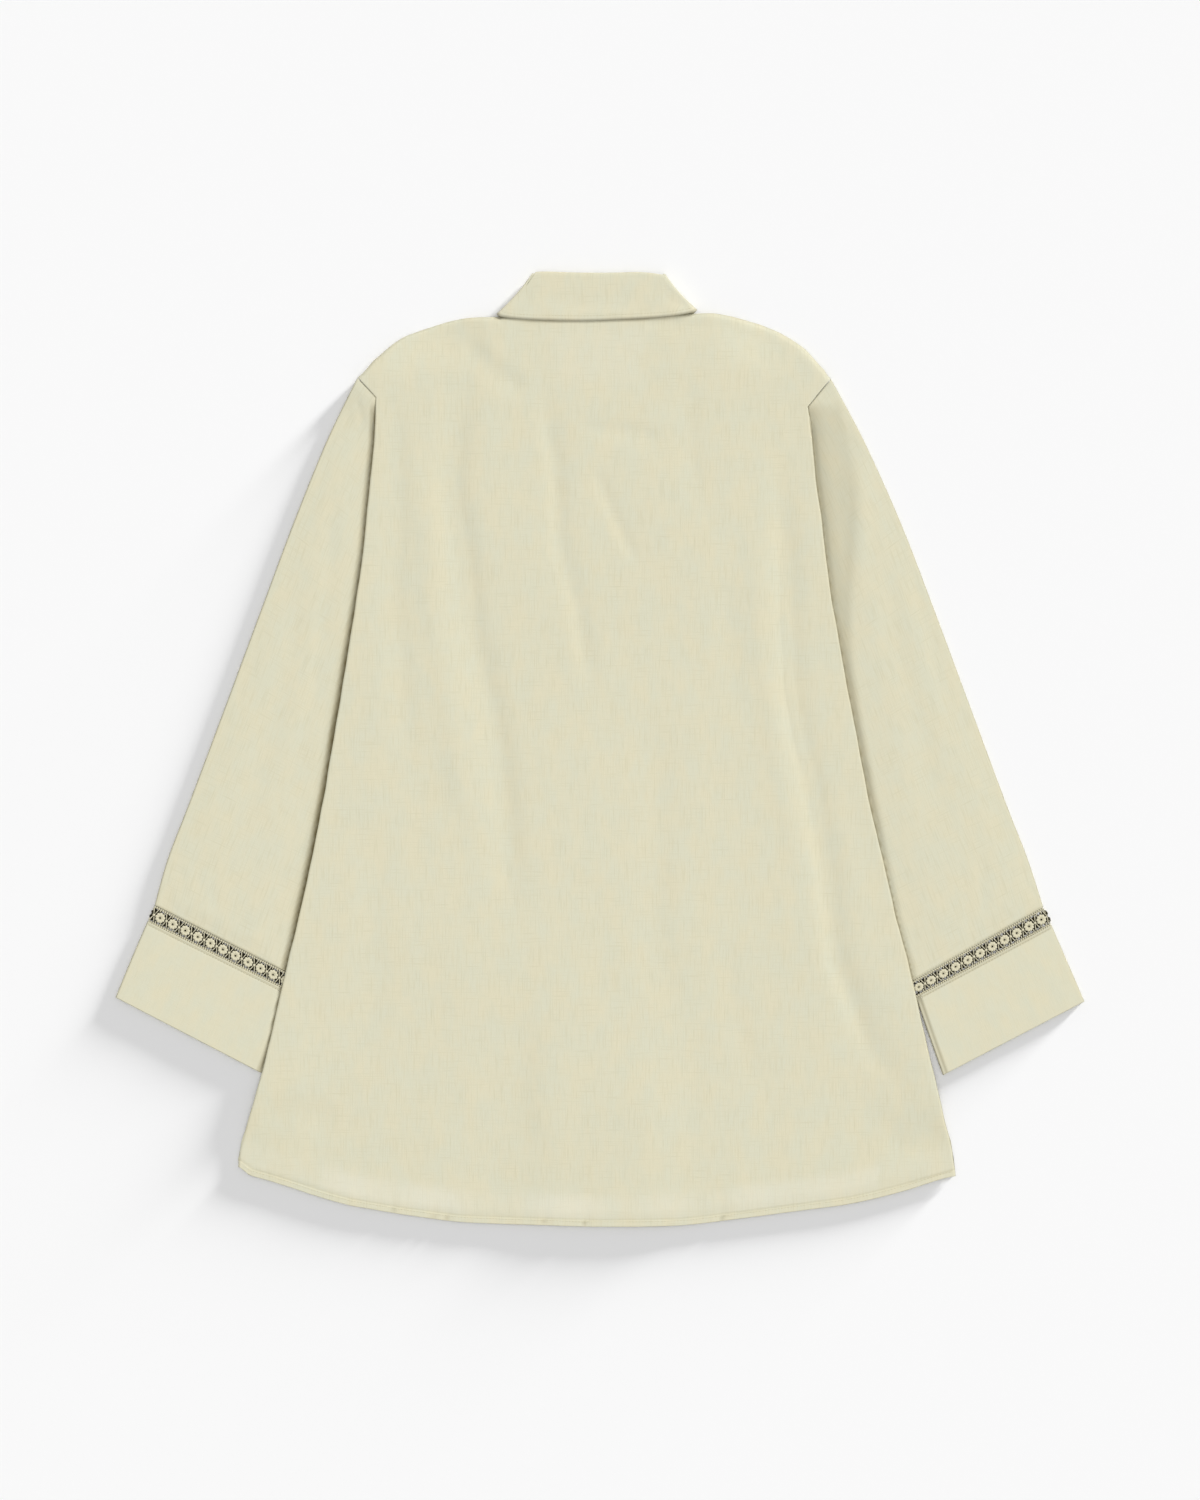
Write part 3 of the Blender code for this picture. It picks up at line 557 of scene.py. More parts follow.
def add_cloth(
        name: str, size: tuple[int, int], place: Place, material: Material, node: str,
        thickness: float = CLOTH_THICKNESS, tube: bool = False) -> Object:
    """Add a piece of cloth from a mapped grid and give it its thickness.

    Args:
        name: the piece's name.
        size: faces across and up.
        place: gives the cloth point of a column and row.
        material: its finish.
        node: the solid it stands for.
        thickness: how thick the cloth is in mm; doubled cloth grows to both sides, other cloth inwards.
        tube: whether the grid's first and last columns meet.

    Returns:
        The piece.
    """
    shape = mapped_cloth(*size, place)
    if tube:
        bmesh.ops.remove_doubles(shape, verts=shape.verts[:], dist=WELD * MM)
        bmesh.ops.recalc_face_normals(shape, faces=shape.faces[:])
        lowest = min(shape.faces, key=lambda face: face.calc_center_median().z)
        if lowest.normal.z > 0.0:
            bmesh.ops.reverse_faces(shape, faces=shape.faces[:])
    piece = add_piece(name, shape, material, (node,))
    wall = piece.modifiers.new("wall", "SOLIDIFY")
    wall.thickness = thickness * MM
    wall.offset = 0.0 if thickness == DOUBLED_THICKNESS else -1.0
    wall.use_even_offset = False
    wall.use_rim = True
    return piece


def linear_colour(code: str) -> tuple[float, float, float, float]:
    """Linear RGBA of an sRGB hex colour such as #DCD8BF."""
    channels = []
    for start in (1, 3, 5):
        value = int(code[start:start + 2], 16) / 255.0
        channels.append(value / 12.92 if value <= 0.04045 else ((value + 0.055) / 1.055) ** 2.4)
    return channels[0], channels[1], channels[2], 1.0


def add_node(
        tree: Tree, kind: str, settings: dict | None = None,
        links: dict | None = None) -> bpy.types.Node:
    """Add a node with its settings and links.

    Args:
        tree: the material's node tree.
        kind: the node's type.
        settings: properties and socket values by name, or socket values by index.
        links: the output that feeds each input, by the input's name or index.

    Returns:
        The node.
    """
    node = tree.nodes.new(kind)
    for key, value in (settings or {}).items():
        if isinstance(key, str) and hasattr(node, key):
            setattr(node, key, value)
        else:
            node.inputs[key].default_value = value
    for key, output in (links or {}).items():
        tree.links.new(output, node.inputs[key])
    return node


def new_material(name: str) -> tuple[Material, Tree]:
    """Empty material with its output node."""
    material = bpy.data.materials.new(name)
    material.use_nodes = True
    material.node_tree.nodes.clear()
    return material, material.node_tree


def add_surface(tree: Tree, settings: dict, links: dict) -> None:
    """Add the Principled shader with its settings and links and join it to the output."""
    shader = add_node(tree, "ShaderNodeBsdfPrincipled", settings, links)
    add_node(tree, "ShaderNodeOutputMaterial", {}, {"Surface": shader.outputs["BSDF"]})


def add_tint(
        tree: Tree, share: Socket, base: Socket | str,
        colour: str) -> Socket:
    """Add a mix from a base, an output or a hex colour, towards a hex colour.

    Args:
        tree: the material's node tree.
        share: the output that says how far to go.
        base: the colour at share 0.
        colour: the hex colour at share 1.

    Returns:
        The mixed colour.
    """
    settings = {"data_type": "RGBA", 7: linear_colour(colour)}
    links = {0: share}
    if isinstance(base, str):
        settings[6] = linear_colour(base)
    else:
        links[6] = base
    return add_node(tree, "ShaderNodeMix", settings, links).outputs[2]


def add_bump(
        tree: Tree, bump: tuple[float, float], height: Socket,
        normal: Socket | None = None) -> Socket:
    """Add a bump.

    Args:
        tree: the material's node tree.
        bump: its strength and its depth in mm.
        height: the output that shapes it.
        normal: the normal to build on, or none.

    Returns:
        The bumped normal.
    """
    links = {"Height": height} if normal is None else {"Height": height, "Normal": normal}
    settings = {"Strength": bump[0], "Distance": bump[1] * MM}
    return add_node(tree, "ShaderNodeBump", settings, links).outputs["Normal"]


def add_noise(
        tree: Tree, place: Socket, size: tuple[float, ...],
        settings: dict) -> Socket:
    """Add a noise.

    Args:
        tree: the material's node tree.
        place: the coordinates it reads, in metres.
        size: its bumps' size in mm, or their width and length on flat cloth.
        settings: the noise's other settings.

    Returns:
        The noise.
    """
    scale = 1.0 / (size[0] * MM)
    if len(size) == 2:
        stretch = (1.0 / (size[0] * MM), 1.0 / (size[1] * MM), 1.0)
        place = add_node(tree, "ShaderNodeMapping", {"Scale": stretch}, {"Vector": place}).outputs["Vector"]
        scale = 1.0
    noise_node = add_node(tree, "ShaderNodeTexNoise", {"Scale": scale, **settings}, {"Vector": place})
    return noise_node.outputs["Fac"]


@dataclass(frozen=True)
class WovenCotton:
    """Plain-weave slub cotton: thick and thin threads give the eye faint streaks along the grain.

    Threads are 0.3 mm apart in the real cloth and are drawn 0.7 mm apart, so that they show. Each
    bump is a strength and a depth in mm.
    """

    name: str
    colour: str = "#DDD9BF"
    warm_colour: str = "#DFD9BD"
    cool_colour: str = "#DBD9C1"
    slub_colour: str = "#CDC8AA"
    # Dark brown of painted shade in folds, grooves, seams and beside edges.
    painted_shade_colour: str = "#7F7450"
    # Pale colour of painted light where the floor would show through single cloth.
    see_through_light_colour: str = "#EAE7D6"
    roughness: float = 0.9
    sheen: float = 0.08
    thread_pitch: float = 0.7
    slub_width: float = 1.1
    slub_length: float = 24.0
    slub_share: float = 0.6
    slub_range: Pair = (0.5, 0.78)
    weft_share: float = 0.9
    mottle: Pair = (17.0, 34.0)
    tint_range: Pair = (0.36, 0.64)
    crinkle: float = 1000.0 / 75.0
    slub_bump: Pair = (0.35, 0.2)
    weft_bump: Pair = (0.2, 0.2)
    crinkle_bump: Pair = (0.5, 0.3)
    weave_bump: Pair = (0.25, 0.12)

    def build(self) -> Material:
        """Build the cloth's material on its flat UV map, with painted shade from its shade attribute and
        painted light from its thin attribute.
        """
        material, tree = new_material(self.name)
        flat = add_node(tree, "ShaderNodeUVMap", {"uv_map": "cloth"}).outputs["UV"]
        slub = add_noise(tree, flat, (self.slub_width, self.slub_length), {"Detail": 2.0, "Roughness": 0.6})
        weft = add_noise(tree, flat, (self.slub_length, self.slub_width), {"Detail": 1.0, "Roughness": 0.5})
        crinkle = add_noise(tree, flat, (self.crinkle,), {"Detail": 4.0, "Roughness": 0.6})
        normal = add_bump(tree, self.slub_bump, slub)
        normal = add_bump(tree, self.weft_bump, weft, normal)
        normal = add_bump(tree, self.crinkle_bump, crinkle, normal)
        normal = add_bump(tree, self.weave_bump, self.add_weave(tree, flat), normal)
        tint = self.add_mottle(tree, flat)
        tint = add_tint(tree, self.add_streaks(tree, slub, weft), tint, self.slub_colour)
        # Painted shade: the shade attribute darkens the cloth to a brown where shade falls in folds and
        # crevices. The thin attribute paints light where the floor would show through.
        for name, colour in (("thin", self.see_through_light_colour), ("shade", self.painted_shade_colour)):
            share = add_node(tree, "ShaderNodeAttribute", {"attribute_name": name}).outputs["Fac"]
            tint = add_tint(tree, share, tint, colour)
        add_surface(
            tree,
            {"Roughness": self.roughness, "IOR": 1.45, "Specular IOR Level": 0.2, "Sheen Weight": self.sheen},
            {"Base Color": tint, "Normal": normal})
        return material

    def add_mottle(self, tree: Tree, flat: Socket) -> Socket:
        """Add the cloth's faint clouds of a cooler and a warmer tint, and give their colour."""
        clouds = add_noise(tree, flat, self.mottle, {"Detail": 3.0, "Roughness": 0.55})
        tint = add_node(tree, "ShaderNodeValToRGB", {}, {"Fac": clouds})
        cool, warm = tint.color_ramp.elements
        cool.position, warm.position = self.tint_range
        cool.color = linear_colour(self.cool_colour)
        warm.color = linear_colour(self.warm_colour)
        tint.color_ramp.elements.new(0.5).color = linear_colour(self.colour)
        return tint.outputs["Color"]

    def add_streaks(
            self, tree: Tree, slub: Socket,
            weft: Socket) -> Socket:
        """Add the slubs' streaks, the fainter ones across the grain, and give their strength."""
        fainter = add_node(tree, "ShaderNodeMath", {"operation": "MULTIPLY", 1: self.weft_share}, {0: weft})
        threads = add_node(
            tree, "ShaderNodeMath", {"operation": "MAXIMUM"}, {0: slub, 1: fainter.outputs["Value"]})
        low, high = self.slub_range
        streak = add_node(
            tree, "ShaderNodeMapRange", {1: low, 2: high, 3: 0.0, 4: self.slub_share},
            {0: threads.outputs["Value"]})
        return streak.outputs["Result"]

    def add_weave(self, tree: Tree, flat: Socket) -> Socket:
        """Add the plain weave's over-and-under threads and give their height."""
        waves_a_metre = math.pi / (10.0 * self.thread_pitch * MM)
        bands = [
            add_node(
                tree, "ShaderNodeTexWave",
                {"bands_direction": axis, "Scale": waves_a_metre, "Distortion": 0.6, "Detail": 1.0},
                {"Vector": flat}).outputs["Fac"]
            for axis in ("X", "Y")]
        weave = add_node(tree, "ShaderNodeMath", {"operation": "MAXIMUM"}, {0: bands[0], 1: bands[1]})
        return weave.outputs["Value"]


@dataclass(frozen=True)
class TwistedCotton:
    """Cotton yarn of the lace and the sewing: round, soft and matt, with a fine twist along it.

    Its fibres are drawn 1.2 mm coarse. Yarn that faces up from the floor takes the up-face colour. On the
    lower layer of a flattened sleeve, the side inside the sleeve, that is painted deep shade; on the upper
    layer and the sewing it is painted light, a little lighter than the yarn.
    """

    name: str
    colour: str = "#D6D0B2"
    dark_colour: str = "#BDB591"
    # Colour of yarn facing up: painted deep shade on the lower lace layer, and on the upper layer and the
    # sewing thread, painted light a little lighter than the yarn.
    painted_up_face_colour: str = "#D6D0B2"
    roughness: float = 0.85
    fibre: float = 1.2
    fibre_range: Pair = (0.3, 0.55)
    facing_range: Pair = (-0.1, 0.3)
    twist_bump: Pair = (0.4, 0.2)

    def build(self) -> Material:
        """Build the yarn's material on Object coordinates."""
        material, tree = new_material(self.name)
        coordinates = add_node(tree, "ShaderNodeTexCoord").outputs
        facing = add_node(tree, "ShaderNodeSeparateXYZ", {}, {"Vector": coordinates["Normal"]}).outputs["Z"]
        fibres = add_noise(tree, coordinates["Object"], (self.fibre,), {"Detail": 2.0, "Roughness": 0.6})
        steps = [
            add_node(tree, "ShaderNodeMapRange", {1: low, 2: high}, {0: value}).outputs["Result"]
            for value, (low, high) in ((fibres, self.fibre_range), (facing, self.facing_range))]
        tint = add_tint(tree, steps[0], self.dark_colour, self.colour)
        # Yarn facing up takes the up-face colour: painted shade inside the lower lace, painted light on top
        # elsewhere.
        tint = add_tint(tree, steps[1], tint, self.painted_up_face_colour)
        add_surface(
            tree, {"Roughness": self.roughness, "IOR": 1.45, "Specular IOR Level": 0.2},
            {"Base Color": tint, "Normal": add_bump(tree, self.twist_bump, fibres)})
        return material


@dataclass(frozen=True)
class PolyesterResin:
    """Cast polyester resin of the buttons: glossy with a soft cloudy depth, from polishing."""

    name: str
    colour: str = "#DED8C2"
    cloud_colour: str = "#CEC7AB"
    roughness: float = 0.28
    cloud: float = 4.0

    def build(self) -> Material:
        """Build the resin's material on Object coordinates."""
        material, tree = new_material(self.name)
        place = add_node(tree, "ShaderNodeTexCoord").outputs["Object"]
        clouds = add_noise(tree, place, (self.cloud,), {"Detail": 3.0, "Distortion": 0.8})
        add_surface(
            tree, {"Roughness": self.roughness, "IOR": 1.54, "Coat Weight": 0.2, "Coat Roughness": 0.15},
            {"Base Color": add_tint(tree, clouds, self.cloud_colour, self.colour)})
        return material


@dataclass(frozen=True)
class PaperBackdrop:
    """Matt white studio paper under the tunic: a plain, even surface with a faint tooth."""

    name: str
    colour: str = "#F7F7F7"
    roughness: float = 0.95
    tooth: float = 2.0
    tooth_bump: Pair = (0.05, 0.1)

    def build(self) -> Material:
        """Build the paper's material on Object coordinates."""
        material, tree = new_material(self.name)
        place = add_node(tree, "ShaderNodeTexCoord").outputs["Object"]
        tooth = add_noise(tree, place, (self.tooth,), {"Detail": 1.0})
        add_surface(
            tree,
            {"Base Color": linear_colour(self.colour), "Roughness": self.roughness,
             "Specular IOR Level": 0.1},
            {"Normal": add_bump(tree, self.tooth_bump, tooth)})
        return material


def column_places(edge: Sequence[float], width: float, count: int) -> list[float]:
    """Shares from 0 to 1 across a piece, close together at both edges.

    Args:
        edge: distances in mm from an edge of the columns beside it, from 0.
        width: the piece's usual width in mm.
        count: how many columns lie between the two edges' last ones.

    Returns:
        The shares.
    """
    near = [distance / width for distance in edge]
    start = near[-1]
    middle = [start + (1.0 - 2.0 * start) * step / count for step in range(1, count)]
    return near + middle + [1.0 - share for share in reversed(near)]


FALL_LOW_EDGE: tuple[Point2, ...] = (
    (-93, 381), (-69, 378.2), (-19, 376.6), (21, 378), (60, 380.5), (76, 383.6),
    (87.0, 385.2))


@dataclass
class BackPanel:
    """One-piece back, the top layer, with soft troughs, rolled side edges and a narrow folded hem."""

    row_spacing: float = 3.4
    middle_columns: int = 172
    usual_width: float = 500.0
    edge_columns: tuple[float, ...] = (0.0, 0.2, 0.6, 1.1, 1.8, 2.8, 4.4, 6.8)
    hem_rows: tuple[float, ...] = (0.6, 1.6, 3.2, 4.6, 5.2, 5.7, 6.3, 7.6)
    rows_replaced: int = 3
    level: float = 6.0
    edge_level: float = 4.0
    edge_ramp: float = 44.0
    hem_ramp: float = 240.0
    lap_margin: float = 8.0
    lap_reach: float = 34.0
    clearance: float = 0.1
    relief: float = 1.0
    calm: float = 16.0
    ripples: tuple[Ripple, ...] = (
        Ripple(0.45, 70, 0.6, 1), Ripple(0.22, 26, 0.45, 2), Ripple(0.07, 9, 0.7, 3))
    roll: float = 1.7
    cap_at: float = 290.0
    cap_ease: float = 14.0
    cap_flatness: float = 0.75
    side_wave: Ripple = Ripple(0.5, 22.0, 1.0, 4.0)
    wave_reach: float = 25.0
    wave_from_top: float = 20.0
    hem_extra: float = 0.35
    hem_step: float = 1.2
    hem_groove: Groove = Groove(0.35, HEM_DEPTH + 0.3, 0.8)
    hem_ripple: Ripple = Ripple(0.3, 7.0, 1.0, 5.0)
    hem_ripple_reach: Groove = Groove(1.0, 7.0, 8.0)
    pucker_depth: float = 0.7
    pucker_size: Pair = (2.6, 8.0)
    groove_shade: Groove = Groove(0.18, HEM_DEPTH + 0.3, 0.8)
    fall_shade: Band = Band(0.4, 0.0, 1.6)
    fall_shade_above: float = 360.0
    side_shade: Band = Band(0.5, 0.0, 0.9)
    side_shade_top: Band = Band(1.0, 280.0, 20.0)
    speck_shade: float = 0.32
    speck_size: Pair = (1.8, 2.4)
    speck_below: float = 2.0
    # Strength of the painted light where the floor would show through, at the neck opening and above the hem.
    neck_thinness: float = 0.1
    neck_blur: float = 18.0
    hem_thinness: float = 0.42
    hem_thin_from: Pair = (5.0, 4.0)
    hem_thin_to: Band = Band(1.0, 20.0, 14.0)
    hem_thin_half: float = 245.0
    hem_thin_least: Pair = (0.35, 0.2)
    hem_thin_patches: Ripple = Ripple(1.6, 60.0, 1.0, 8.0)
    creases: tuple[Crease, ...] = (
        Crease(1, 9, 1.6, (
            (-180.4, 330), (-176, 220), (-180.4, 132), (-171.6, 44), (-163, -20))),
        Crease(2, 11, 1.5, (
            (-101, 372), (-120, 310), (-130.2, 237.6), (-118.8, 167.2), (-110, 96.8),
            (-96.8, 44), (-88, 0), (-81, -61.6), (-77, -170))),
        Crease(1.1, 9, 0.8, (
            (-52, 330), (-39.6, 246.4), (-35.2, 176), (-22, 132), (-4, 30))),
        Crease(2.1, 13, 0.7, (
            (154, 290), (158.4, 228.8), (162.8, 132), (167.2, 44), (184.8, -35.2),
            (198, -105.6), (206.8, -184.8), (237.6, -264), (286, -325))),
        Crease(0.6, 8, 1.4, ((79.2, 330), (79.2, 270), (84, 215))),
        Crease(0.6, 9, 1.4, ((110, 160), (114.4, 90), (118, 20))),
        Crease(1.1, 8, 1.5, ((-122, 362), (-92, 334), (-62, 312))),
        Crease(0.8, 6, 1.5, ((-22, 283), (18, 281), (56, 274))),
        Crease(0.8, 7, 0.7, ((-6, 250), (12, 205), (34, 160))),
        Crease(0.9, 12, 1.3, ((-306, -318), (-268, -316), (-226, -330))),
        Crease(0.9, 12, 1.3, ((305, -330), (280, -346), (250, -352))),
        Crease(-0.8, 12, 1, ((-150, 250), (-148, 130), (-132, 20), (-112, -90))),
        Crease(-0.7, 10, 1, ((136, 210), (140, 90), (158, -20), (178, -130))),
        Crease(0.7, 14, 1.2, ((40, 60), (52, -40), (50, -160), (62, -250))),
        Crease(0.6, 12, 1.2, ((-190, -60), (-200, -150), (-196, -240), (-210, -300))),
        Crease(0.5, 10, 1.2, ((110, -150), (118, -230), (140, -310))),
        Crease(0.5, 11, 1.2, ((-60, -230), (-70, -300), (-64, -370))),
        Crease(-0.7, 2.2, 1, ((276, -236), (281, -256), (290, -290), (299, -326))),
        Crease(1, 2.2, 1, ((36, 373.5), (64, 375), (96, 380))),
        Crease(0.7, 2.4, 1, ((48, 368), (72, 369.5), (104, 376))),
    )
    puckers: tuple[Point2, ...] = (
        (-182.2, -402.2), (-147, -408.3), (-133.8, -409.2), (-48.4, -411.8), (-13.2, -413.6),
        (107.4, -409.2))
    window: tuple[Point2, ...] = ((-48, 372), (44, 372), (30, 322), (-33, 322))

    def build(self, cloth: Material) -> Object:
        """Build the back from its finish and give the piece."""
        folds = CreaseMap(self.creases)
        plan = self.plan()
        return add_cloth(
            "back_panel", (len(plan[0]) - 1, len(plan) - 1),
            lambda column, row: self.point(plan[row][column], folds), cloth, "back")

    def plan(self) -> list[list[Point2]]:
        """Plan points, row by row from the hem, with extra rows at the hem's fold."""
        sides = side_points(self.row_spacing)
        shares = column_places(self.edge_columns, self.usual_width, self.middle_columns)
        corners = (sides[0][0], sides[0][1], sides[-1][0], sides[-1][1])
        lows = [blend(corners[0], corners[1], share)[0] for share in shares]
        highs = [blend(corners[2], corners[3], share)[0] for share in shares]
        bottoms = [(x, height_at(HEM, x)) for x in lows]
        tops = [(x, back_top(x)) for x in highs]
        low_y = 0.5 * (corners[0][1] + corners[1][1])
        high_y = 0.5 * (corners[2][1] + corners[3][1])
        rows = []
        for left, right in sides:
            up = (0.5 * (left[1] + right[1]) - low_y) / (high_y - low_y)
            rows.append([
                patch_point(bottom, top, left, right, corners, (share, up))
                for bottom, top, share in zip(bottoms, tops, shares)])
        above = rows[self.rows_replaced]
        hem = [
            [blend(low, high, offset / (high[1] - low[1])) for low, high in zip(rows[0], above)]
            for offset in self.hem_rows]
        return [rows[0]] + hem + rows[self.rows_replaced:]

    def point(self, place: Point2, folds: CreaseMap) -> ClothPoint:
        """Cloth point of the back at a plan point: laid over what is under it, creased and rolled."""
        x, y = place
        from_side = min(distance_to_path(x, y, SIDE_LINES[side]) for side in Side)
        from_top = min(distance_to_path(x, y, LEFT_SHOULDER), distance_to_path(x, y, RIGHT_SHOULDER))
        from_hem = distance_to_path(x, y, HEM)
        from_edge = min(from_side, from_top)
        neck = neck_zone(x, y)
        lifted = BUTTON_LIFT * max(lap_zone(x, y, self.lap_margin), neck)
        over_lap = LAYER * max(ease_out(abs(x), self.lap_reach, LIFT_EASE), neck)
        resting = FLOOR_LEVEL + LAYER + SEAM_GAP + arm_lift(x, y) + lifted + over_lap
        rise = ease_in(from_edge, self.edge_level, self.edge_ramp) * min(1.0, from_hem / self.hem_ramp)
        spanned = resting + (self.level - resting) * rise
        soft = self.relief * smooth(min(from_edge, from_hem) / self.calm)
        z = spanned + WALL / 2.0 + soft * (folds.height(x, y) + sum(r.at(x, y) for r in self.ripples))
        lower = front_level(x, y, Side.LEFT if x < LAP_HALF else Side.RIGHT) - WALL / 2.0
        z = max(z, lower + 2.0 * CLOTH_THICKNESS + self.clearance)
        z += self.hem_relief(x, y, from_hem)
        edge = max(0.0, 1.0 - from_edge / self.roll)
        at_cap = ease_in(y, self.cap_at, self.cap_ease) if from_side < from_top else 0.0
        z -= self.roll * (1.0 - self.cap_flatness * at_cap) * (1.0 - math.sqrt(1.0 - min(1.0, edge * edge)))
        wave = self.side_wave.at(y, x) * ease_out(from_side, 0.0, self.wave_reach)
        wave *= smooth(from_top / self.wave_from_top)
        shade = self.shade(x, y, from_hem, from_side)
        return ClothPoint(x + wave, y, z, x, y, shade, self.thin(x, y, from_hem))

    def hem_relief(self, x: float, y: float, from_hem: float) -> float:
        """The folded hem's thickness, its groove and the puckers along it."""
        relief = self.hem_extra * smooth((HEM_DEPTH - from_hem) / self.hem_step + 0.5)
        relief -= self.hem_groove.at(from_hem)
        relief += self.hem_ripple.at(x, 0.0) * self.hem_ripple_reach.at(from_hem)
        wide, long = self.pucker_size
        return relief - self.pucker_depth * sum(
            bell(x - at_x, wide) * bell(y - at_y, long) for at_x, at_y in self.puckers)

    def shade(self, x: float, y: float, from_hem: float, from_side: float) -> float:
        """Shade in the hem's groove, under the collar's edge and along the right side's rolled edge."""
        under_fall = 0.0
        if y > self.fall_shade_above:
            under_fall = self.fall_shade.at(distance_to_path(x, y, FALL_LOW_EDGE))
        side = self.side_shade.at(from_side) * self.side_shade_top.at(y) if x > 0.0 else 0.0
        wide, long = self.speck_size
        speck = max(
            bell(x - at_x, wide) * bell(y - at_y + self.speck_below, long) for at_x, at_y in self.puckers)
        return max(self.groove_shade.at(from_hem), under_fall, side, self.speck_shade * speck)

    def thin(self, x: float, y: float, from_hem: float) -> float:
        """Painted light where the pale floor would show through single cloth: inside the neck opening and
        just above the hem.
        """
        edge = distance_to_path(x, y, self.window + self.window[:1])
        opening = smooth(0.5 + (edge if is_inside(x, y, self.window) else -edge) / self.neck_blur)
        band = ease_in(from_hem, *self.hem_thin_from) * self.hem_thin_to.at(from_hem)
        least, corner = self.hem_thin_least
        patches = least + (1.0 - least) * smooth(0.5 + self.hem_thin_patches.at(x, 0.0))
        band *= patches if abs(x) < self.hem_thin_half else corner
        return min(1.0, self.neck_thinness * opening + self.hem_thinness * band)


@dataclass
class FrontPanel:
    """One front with its lap, on the underside: the right one lies nearest the floor."""

    side: Side
    row_spacing: float = 5.5
    usual_width: float = 250.0
    inset: float = 0.9
    neck_curve: float = 1.7
    edge_columns: tuple[float, ...] = (0.0, 0.5, 1.4, 3.0, 6.0)
    shoulder_columns: int = 26
    neck_columns: int = 18
    crease_shift: float = 14.0
    calm: float = 30.0
    lap_calm: Pair = (34.0, 20.0)
    ripple: Ripple = Ripple(0.2, 30.0, 1.0, 6.0)
    hem_shade: Groove = Groove(0.3, HEM_DEPTH, 1.0)
    facing_shade: Groove = Groove(0.3, 2.0 * LAP_HALF, 1.0)
    creases: tuple[Crease, ...] = (
        Crease(-0.9, 12, 1.4, ((150, 250), (156, 150), (168, 20), (186, -90))),
        Crease(-0.8, 11, 0.7, ((92, 200), (100, 60), (112, -60), (108, -200))),
        Crease(-0.7, 10, 1.3, ((60, 20), (66, -120), (84, -260))),
        Crease(-0.6, 12, 1.2, ((210, -180), (226, -260), (250, -330))),
        Crease(-0.5, 10, 1.2, ((140, -250), (150, -330), (148, -390))),
    )

    def build(self, cloth: Material) -> Object:
        """Build the front from its finish and give the piece."""
        sign = self.side.value
        shift = self.crease_shift * sign
        folds = CreaseMap([
            crease._replace(points=tuple((px * sign, py + shift) for px, py in crease.points))
            for crease in self.creases])
        plan = self.plan()

        def place(column: int, row: int) -> ClothPoint:
            """Cloth point of a column and row."""
            x, y = plan[row][column]
            from_side = distance_to_path(x, y, SIDE_LINES[self.side])
            from_hem = distance_to_path(x, y, HEM)
            from_lap = abs(x + sign * LAP_HALF)
            soft = smooth(min(from_side, from_hem) / self.calm) * ease_in(from_lap, *self.lap_calm)
            level = front_level(x, y, self.side) - WALL / 2.0 + CLOTH_THICKNESS
            z = level + max(0.0, soft * (folds.height(x, y) + self.ripple.at(x, y)))
            return ClothPoint(x, y, z, x, y, max(self.hem_shade.at(from_hem), self.facing_shade.at(from_lap)))

        word = self.side.word
        return add_cloth(
            f"front_panel_{word}", (len(plan[0]) - 1, len(plan) - 1), place, cloth, f"front_{word}")

    def neck_point(self, share: float) -> Point2:
        """Point of the neckline, from the shoulder's neck point to the lap's top."""
        start = LEFT_SHOULDER[-1] if self.side is Side.LEFT else RIGHT_SHOULDER[0]
        x = start[0] + (-self.side.value * LAP_HALF - start[0]) * share
        return x, FRONT_NECK_AT + (start[1] - FRONT_NECK_AT) * (1.0 - share) ** self.neck_curve

    def plan(self) -> list[list[Point2]]:
        """Plan points, row by row from the hem; columns run from left to right as seen from above."""
        sign = self.side.value
        pick = 0 if self.side is Side.LEFT else 1
        sides = [pair[pick] for pair in side_points(self.row_spacing)]
        sides = [(x - sign * self.inset, y + (self.inset if y < 0.0 else -self.inset)) for x, y in sides]
        lap_x = -sign * LAP_HALF
        low = (lap_x, height_at(HEM, lap_x) + self.inset)
        high = (lap_x, FRONT_NECK_AT)
        tip = sides[-1]
        neck = LEFT_SHOULDER[-1] if self.side is Side.LEFT else RIGHT_SHOULDER[0]
        neck_share = (neck[0] - tip[0]) / (lap_x - tip[0])
        shares = [distance / self.usual_width for distance in self.edge_columns]
        start = shares[-1]
        for low_share, high_share, count in (
                (start, neck_share, self.shoulder_columns), (neck_share, 1.0, self.neck_columns)):
            shares.extend(low_share + (high_share - low_share) * step / count for step in range(1, count + 1))
        corners = (sides[0], low, tip, high)
        rows = []
        for side in sides:
            up = (side[1] - sides[0][1]) / (tip[1] - sides[0][1])
            lap = blend(low, high, up)
            row = []
            for share in shares:
                low_x = sides[0][0] + (lap_x - sides[0][0]) * share
                bottom = (low_x, height_at(HEM, low_x) + self.inset)
                if share <= neck_share:
                    high_x = tip[0] + (lap_x - tip[0]) * share
                    top = (high_x, back_top(high_x) - self.inset * (1.0 - share))
                else:
                    top = self.neck_point((share - neck_share) / (1.0 - neck_share))
                row.append(patch_point(bottom, top, side, lap, corners, (share, up)))
            rows.append(row if self.side is Side.LEFT else row[::-1])
        return rows


def body_outline() -> list[Point2]:
    """Closed outline of the body, from the hem up the right side and over to the left."""
    right = SIDE_LINES[Side.RIGHT] + list(RIGHT_SHOULDER[::-1])
    left = list(LEFT_SHOULDER[::-1]) + SIDE_LINES[Side.LEFT][::-1]
    return list(HEM) + right + left


BODY_OUTLINE = body_outline()


def outside_body(x: float, y: float, side: Side) -> float:
    """Distance from the body's side edge to a plan point, below zero under the body."""
    away = distance_to_path(x, y, SIDE_LINES[side])
    return -away if is_inside(x, y, BODY_OUTLINE) else away


